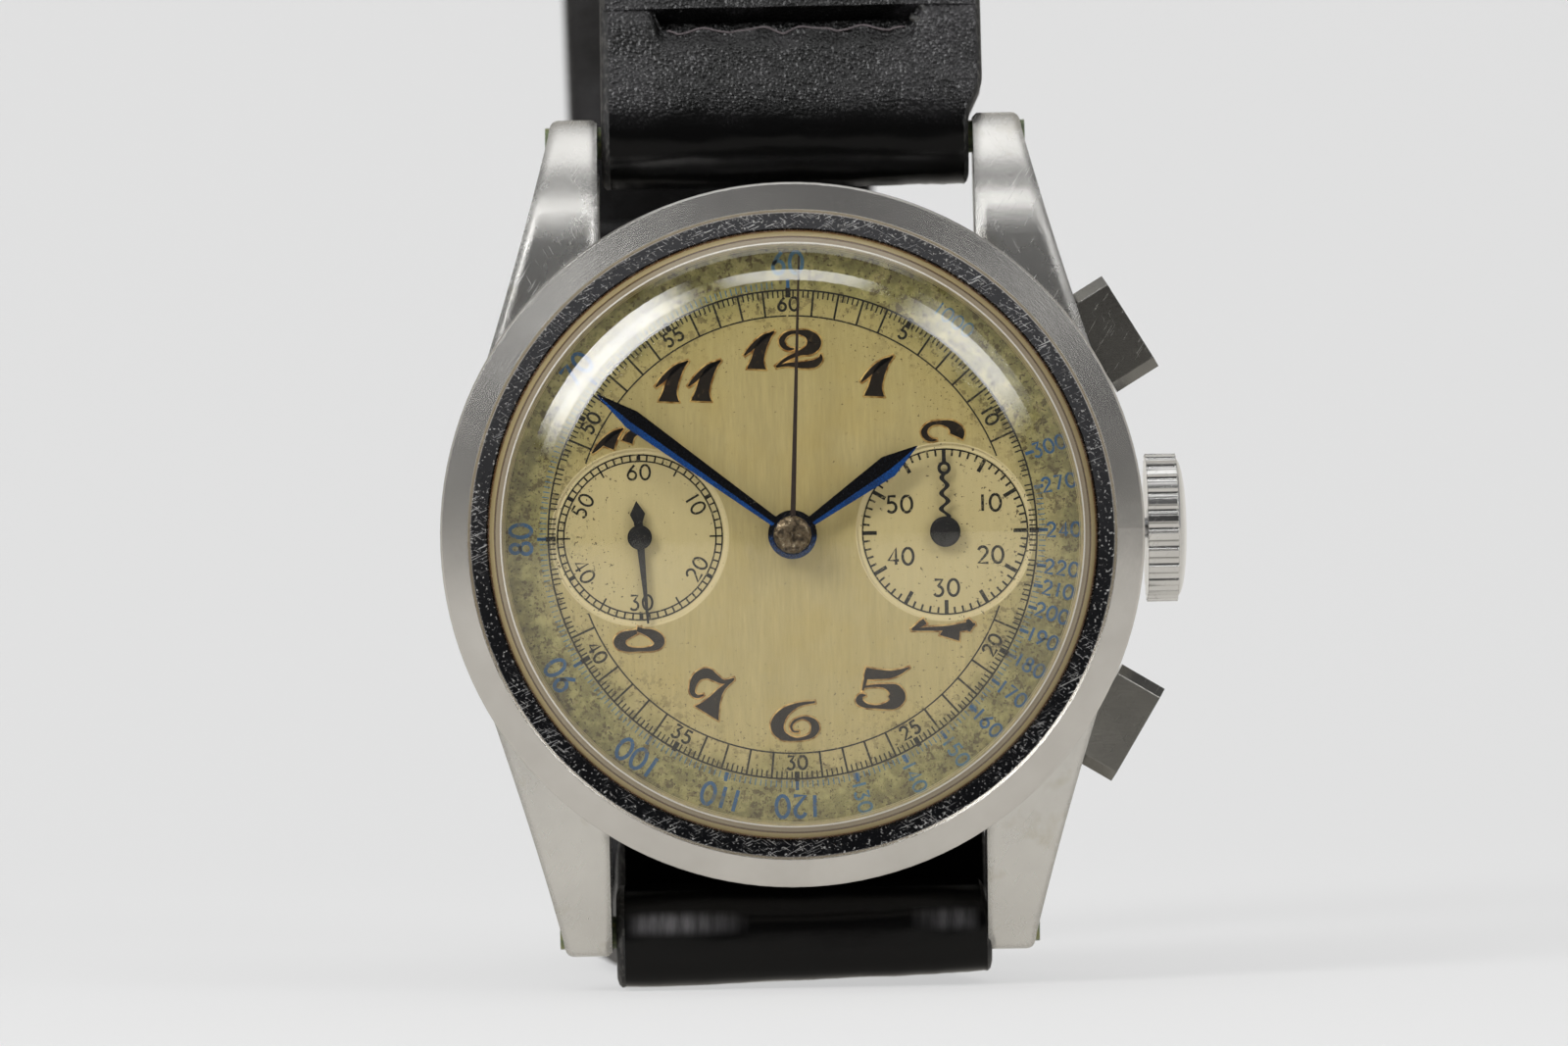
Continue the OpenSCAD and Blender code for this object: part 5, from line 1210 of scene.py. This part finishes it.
def pin_sleeve():
    """The leather turned round the buckle's pin, in two halves either side of the tongue."""
    gap, reach = tongue_slot, strap_end_half

    def place(point, cosine, sine):
        x, r = point
        return ((x - drift) * MM, (back_y + r * cosine) * MM, r * sine * MM)
    for name, x0, x1 in (("pin_sleeve_left", -reach, -gap), ("pin_sleeve_right", gap, reach)):
        cols = 12
        profile = [(x0, 0.62), (x0, 1.05), (x0 + 0.25, 1.25)]
        profile += [(x0 + 0.25 + (x1 - x0 - 0.5) * k / cols, 1.25 + 0.03 * math.sin(k * 1.7))
                    for k in range(1, cols)]
        profile += [(x1 - 0.25, 1.25), (x1, 1.05), (x1, 0.62)]
        verts, faces = revolved(profile, 28, place, True)
        obj = new_object(name, verts, [face[::-1] for face in faces], [LEATHER_SKIN], smooth=50)
        attach(obj, "head", "black_leather")


def tube(path, radius, sides=7):
    """A thin closed tube along a path, with pointed ends sunk in the leather."""
    verts, faces = [], []
    n = len(path)
    for i, p in enumerate(path):
        d = (path[min(i + 1, n - 1)] - path[max(i - 1, 0)]).normalized()
        u = d.orthogonal().normalized()
        v = d.cross(u)
        r = radius * (0.25 if i in (0, n - 1) else 1.0)
        verts += [p + (u * math.cos(TAU * k / sides) + v * math.sin(TAU * k / sides)) * r
                  for k in range(sides)]
    for i in range(n - 1):
        for k in range(sides):
            a, b = i * sides + k, i * sides + (k + 1) % sides
            faces.append([a, b, b + sides, a + sides])
    faces += [list(reversed(range(sides))), [(n - 1) * sides + k for k in range(sides)]]
    return verts, faces


def stitches(name, runs, radius, body):
    """runs are (start, end, outward normal) in millimetres; a stitch rises a little and dips at its ends."""
    verts, faces = [], []
    for p, q, normal in runs:
        p, q, up = Vector(p), Vector(q), Vector(normal).normalized()
        path = [p.lerp(q, t) + up * (math.sin(math.pi * t) * radius * 1.6 - radius * 0.7)
                for t in (0, 0.12, 0.3, 0.5, 0.7, 0.88, 1)]
        v, f = tube([point * MM for point in path], radius * MM)
        faces += [[k + len(verts) for k in face] for face in f]
        verts += v
    obj = new_object(name, verts, faces, [THREAD], smooth=60)
    attach(obj, body, "black_leather")


def flap_point(x, s, out):
    """A point on the front flap: out millimetres proud of its skin, s along from the bar."""
    y, z, a = upper_station(s, 1, parting(s) + leather_t * 0.72 + out, 0, 0, 0)[:3]
    return Vector((x + spread(y, z) * (1 + x / strap_half), y, z)), Vector((0, math.cos(a), math.sin(a)))


def lip_details():
    """The lip's rubbed edge, and at its right end a torn knot of thread."""
    count, reach = 90, lip_half - 0.2
    edge = []
    for k in range(count + 1):
        x = lip_shift + reach * (2 * k / count - 1)
        edge.append(flap_point(x, lip_end(x) + 0.02, 0.03 + 0.03 * math.sin(x * 3.3))[0] * MM)
    verts, faces = tube(edge, 0.055 * MM)
    obj = new_object("rubbed_lip", verts, faces, [RUBBED_EDGE], smooth=60)
    attach(obj, "head", "black_leather")
    runs = []
    strands = ((5.9, 6.3, -0.5, 0.5), (6.3, 5.8, -0.45, 0.6), (6.1, 6.6, -0.2, 0.75),
               (5.7, 6.5, 0.35, 0.15), (6.5, 6.2, 0.5, 1.1))
    for k, (x0, x1, s0, s1) in enumerate(strands):
        p, normal = flap_point(x0, flap_len - 0.6 + s0, 0.05 + 0.04 * k)
        q = flap_point(x1, flap_len - 0.6 + s1, 0.1)[0]
        runs.append((p, q, normal))
    stitches("torn_knot", runs, 0.15, "head")


def keeper_leather(name, node, body):
    """A closed leather loop: a thin section with rounded edges swept round a rounded rectangle."""
    low, high = [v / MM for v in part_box(node)]
    t, corner = 0.9, 0.75
    cx, cy, cz = (low + high) / 2
    hx, hy, hz = (high - low) / 2
    ix, iy = hx - t / 2 - corner, hy - t / 2 - corner
    path = []
    for sx, sy, a0 in ((1, 1, 0), (-1, 1, 90), (-1, -1, 180), (1, -1, 270)):
        path += [(cx + sx * ix, cy + sy * iy, math.radians(a0 + 90 * k / 6)) for k in range(7)]
    dense = []
    for i, p in enumerate(path):
        q = path[(i + 1) % len(path)]
        here = Vector((p[0] + corner * math.cos(p[2]), p[1] + corner * math.sin(p[2])))
        there = Vector((q[0] + corner * math.cos(q[2]), q[1] + corner * math.sin(q[2])))
        parts = max(1, int((there - here).length / 0.9))
        dense += [(here.lerp(there, k / parts), p[2]) for k in range(parts)]
    edge, half = 0.28, t / 2
    section = [(-hz + edge + (2 * hz - 2 * edge) * k / 10, half) for k in range(11)]
    section += [(hz - edge + edge * math.cos(f), half * math.sin(f)) for f in (0.8, 0.0, -0.8)]
    section += [(hz - edge - (2 * hz - 2 * edge) * k / 10, -half) for k in range(11)]
    section += [(-hz + edge - edge * math.cos(f), -half * math.sin(f)) for f in (0.8, 0.0, -0.8)]
    verts, faces, slots = [], [], []
    m = len(section)
    for point, a in dense:
        out = Vector((math.cos(a), math.sin(a)))
        for z, r in section:
            lump = 0.05 * noise.noise(Vector((point.x * 0.8, point.y * 0.8, z + cz * 0.7)))
            verts.append(Vector((point.x + out.x * (r + lump), point.y + out.y * (r + lump), cz + z)) * MM)
    n = len(dense)
    for i in range(n):
        for k in range(m):
            a, b = i * m, (i + 1) % n * m
            faces.append([a + k, b + k, b + (k + 1) % m, a + (k + 1) % m])
            slots.append(0 if k < 10 or 14 <= k < 24 else 1)
    obj = new_object(name, verts, faces, [LEATHER_SKIN, LEATHER_EDGE], smooth=45, face_slots=slots)
    attach(obj, body, "black_leather", node)
    inside = low.y - 0.06
    pitch, length, runs = 0.95, 0.65, []
    for x in (cx - 1.1, cx + 1.1):
        for k in range(int((2 * hz - 0.6) / pitch)):
            z = cz - hz + 0.5 + pitch * k
            runs.append(((x, inside, z), (x, inside, z + length), (0, -1, 0)))
    stitches(name + "_stitches", runs, 0.13, body)


def strap():
    leather_band("strap_buckle_side_leather", buckle_side_stations(), 60, 0.07, "strap_buckle_side")
    leather_band("strap_tail_side_leather", tail_side_stations(), 44, 0.06, "strap_tail_side")
    notch(bpy.data.objects["strap_buckle_side_leather"])
    punch(bpy.data.objects["strap_tail_side_leather"])
    pin_sleeve()
    lip_details()
    keeper_leather("fixed_keeper_leather", "fixed_keeper", "head")
    keeper_leather("free_keeper_leather", "free_keeper", "keeper")


# ------------------------------------------------------------------ stage, light and camera
def floor_and_backdrop():
    """A pale floor and backdrop in one sweep, clear when seen from behind. Its origin is on the dial."""
    front, bend_start, bend_r, top, half = -1.6, 0.16, 0.25, 0.9, 1.6
    ground = FLOOR_Z - 0.5 * MM  # under the lowest corner of the sagging fold
    profile = [(front, ground), (bend_start, ground)]
    profile += [(bend_start + bend_r * math.sin(a), ground + bend_r - bend_r * math.cos(a))
                for a in [math.pi / 2 * k / 24 for k in range(1, 25)]]
    profile.append((bend_start + bend_r, top))
    verts = [(x, y - DIAL_FRONT, z) for y, z in profile for x in (-half, half)]
    faces = [[2 * i, 2 * i + 1, 2 * i + 3, 2 * i + 2] for i in range(len(profile) - 1)]
    s = Shader("studio_paper")
    diffuse = s.node("BsdfDiffuse", Color=grey(0.25))
    mirrored = s.node("LightPath", out=3)  # polished steel shows the floor a little warmer
    glow = s.node("Emission", Color=s.mix(mirrored, grey(1.0), (1.0, 0.955, 0.87)), Strength=0.55)
    paper = s.node("AddShader", i0=diffuse, i1=glow)
    from_behind = s.times(s.node("NewGeometry", out=6), s.node("LightPath", out=0))
    paper = s.surface(s.node("MixShader", i0=from_behind, i1=paper, i2=s.node("BsdfTransparent")))
    sweep = new_object("studio_sweep", verts, faces, [paper], smooth=60)
    sweep.location.y = DIAL_FRONT
    return sweep


def panel_material(name, radiance, soft):
    """Light that fades towards the panel's edges; soft is the share of each half side that fades. The panel
    can't be seen by the camera or from behind."""
    s = Shader(name)
    u, v, w = s.axes(s.node("TexCoord", out=2))
    across, up = [s.math("ABSOLUTE", s.minus(side, 0.5)) for side in (u, v)]
    fade = s.times(*[s.span(side, 0.5 - 0.5 * soft, 0.5, 1.0, 0.0, smooth=True) for side in (across, up)])
    light = s.node("Emission", Color=grey(1.0), Strength=s.times(fade, radiance))
    unseen = s.greater(s.node("LightPath", out=0), s.node("NewGeometry", out=6))
    return s.surface(s.node("MixShader", i0=unseen, i1=light, i2=s.node("BsdfTransparent")))


def softbox(name, azimuth, off_axis, distance, length, width, radiance, soft=0.5):
    """A light panel facing the dial. Azimuth runs anticlockwise from 3 o'clock and off_axis from the line of
    sight, in degrees; length lies along the circle round the line of sight."""
    a, w = math.radians(azimuth), math.radians(off_axis)
    out = Vector((math.sin(w) * math.cos(a), -math.cos(w), math.sin(w) * math.sin(a)))
    along = Vector((-math.sin(a), 0, math.cos(a)))
    across = out.cross(along)
    corners = [out * distance + along * length / 2 * i + across * width / 2 * j
               for i, j in ((-1, -1), (1, -1), (1, 1), (-1, 1))]
    panel = new_object(name, corners, [[3, 2, 1, 0]], [panel_material(name, radiance, soft)])
    uv = panel.data.uv_layers.new(name="panel")
    for loop, corner in zip(uv.data, ((0, 1), (1, 1), (1, 0), (0, 0))):
        loop.uv = corner


def studio_world():
    """Dim behind the camera, brighter to the sides and overhead, so that steel has something to mirror."""
    world = bpy.data.worlds.new("studio")
    bpy.context.scene.world = world
    world.use_nodes = True
    tree = world.node_tree
    tree.nodes.clear()
    s = Shader.__new__(Shader)
    s.tree = tree
    x, y, z = s.axes(s.node("TexCoord", out=0))
    front = s.span(s.times(y, -1.0), 0.55, 0.95, smooth=True)
    behind = s.span(y, -0.25, 0.1)
    up = s.times(s.span(z, 0.80, 0.95, smooth=True), behind)
    side = s.span(s.math("ABSOLUTE", x), 0.3, 0.9, 0.16, 0.42)
    level = s.mix(front, side, grey(0.07))
    level = s.mix(up, level, grey(0.85))
    level = s.mix(s.node("LightPath", out=0), level, grey(0.75))  # the camera itself sees a pale room
    background = s.node("Background", Color=level, Strength=1.0)
    out = tree.nodes.new("ShaderNodeOutputWorld")
    tree.links.new(background, out.inputs[0])


def lights():
    softbox("left_softbox", 135, 50, 0.5, 0.38, 0.20, 12.0, 0.6)
    softbox("right_softbox", 44, 48, 0.5, 0.30, 0.19, 7.0, 0.7)
    softbox("overhead_strip", 88, 50, 0.5, 0.36, 0.035, 6.0, 0.5)
    softbox("overhead_panel", 90, 88, 0.6, 0.8, 0.5, 1.5, 0.5)


def camera(focus):
    """Square on to the dial, turned a little about the view axis and in focus at an object's origin."""
    distance, view_widths, roll = 0.45, 2.222, math.radians(-1.1)
    data = bpy.data.cameras.new("camera")
    data.sensor_width = 36
    data.lens = 36 * distance / (view_widths * 2 * BEZEL_R)
    data.clip_start = 0.01
    data.dof.use_dof = True
    data.dof.focus_object = focus
    data.dof.aperture_fstop = 32
    obj = bpy.data.objects.new("camera", data)
    bpy.context.scene.collection.objects.link(obj)
    aside, above = -0.407 * MM, 0.575 * MM
    turn = Matrix.Rotation(math.pi / 2, 4, "X") @ Matrix.Rotation(roll, 4, "Z")
    obj.matrix_world = Matrix.Translation((aside, BEZEL_FRONT - distance, above)) @ turn
    bpy.context.scene.camera = obj


dress_cad_nodes()
hour_numerals()
seconds_track()
register_print()
tachymeter()
hands()
small_hubs()
strap()
backdrop = floor_and_backdrop()
studio_world()
lights()
camera(backdrop)
bpy.context.scene.view_settings.view_transform = "Standard"
bpy.context.scene.cycles.transparent_max_bounces = 24
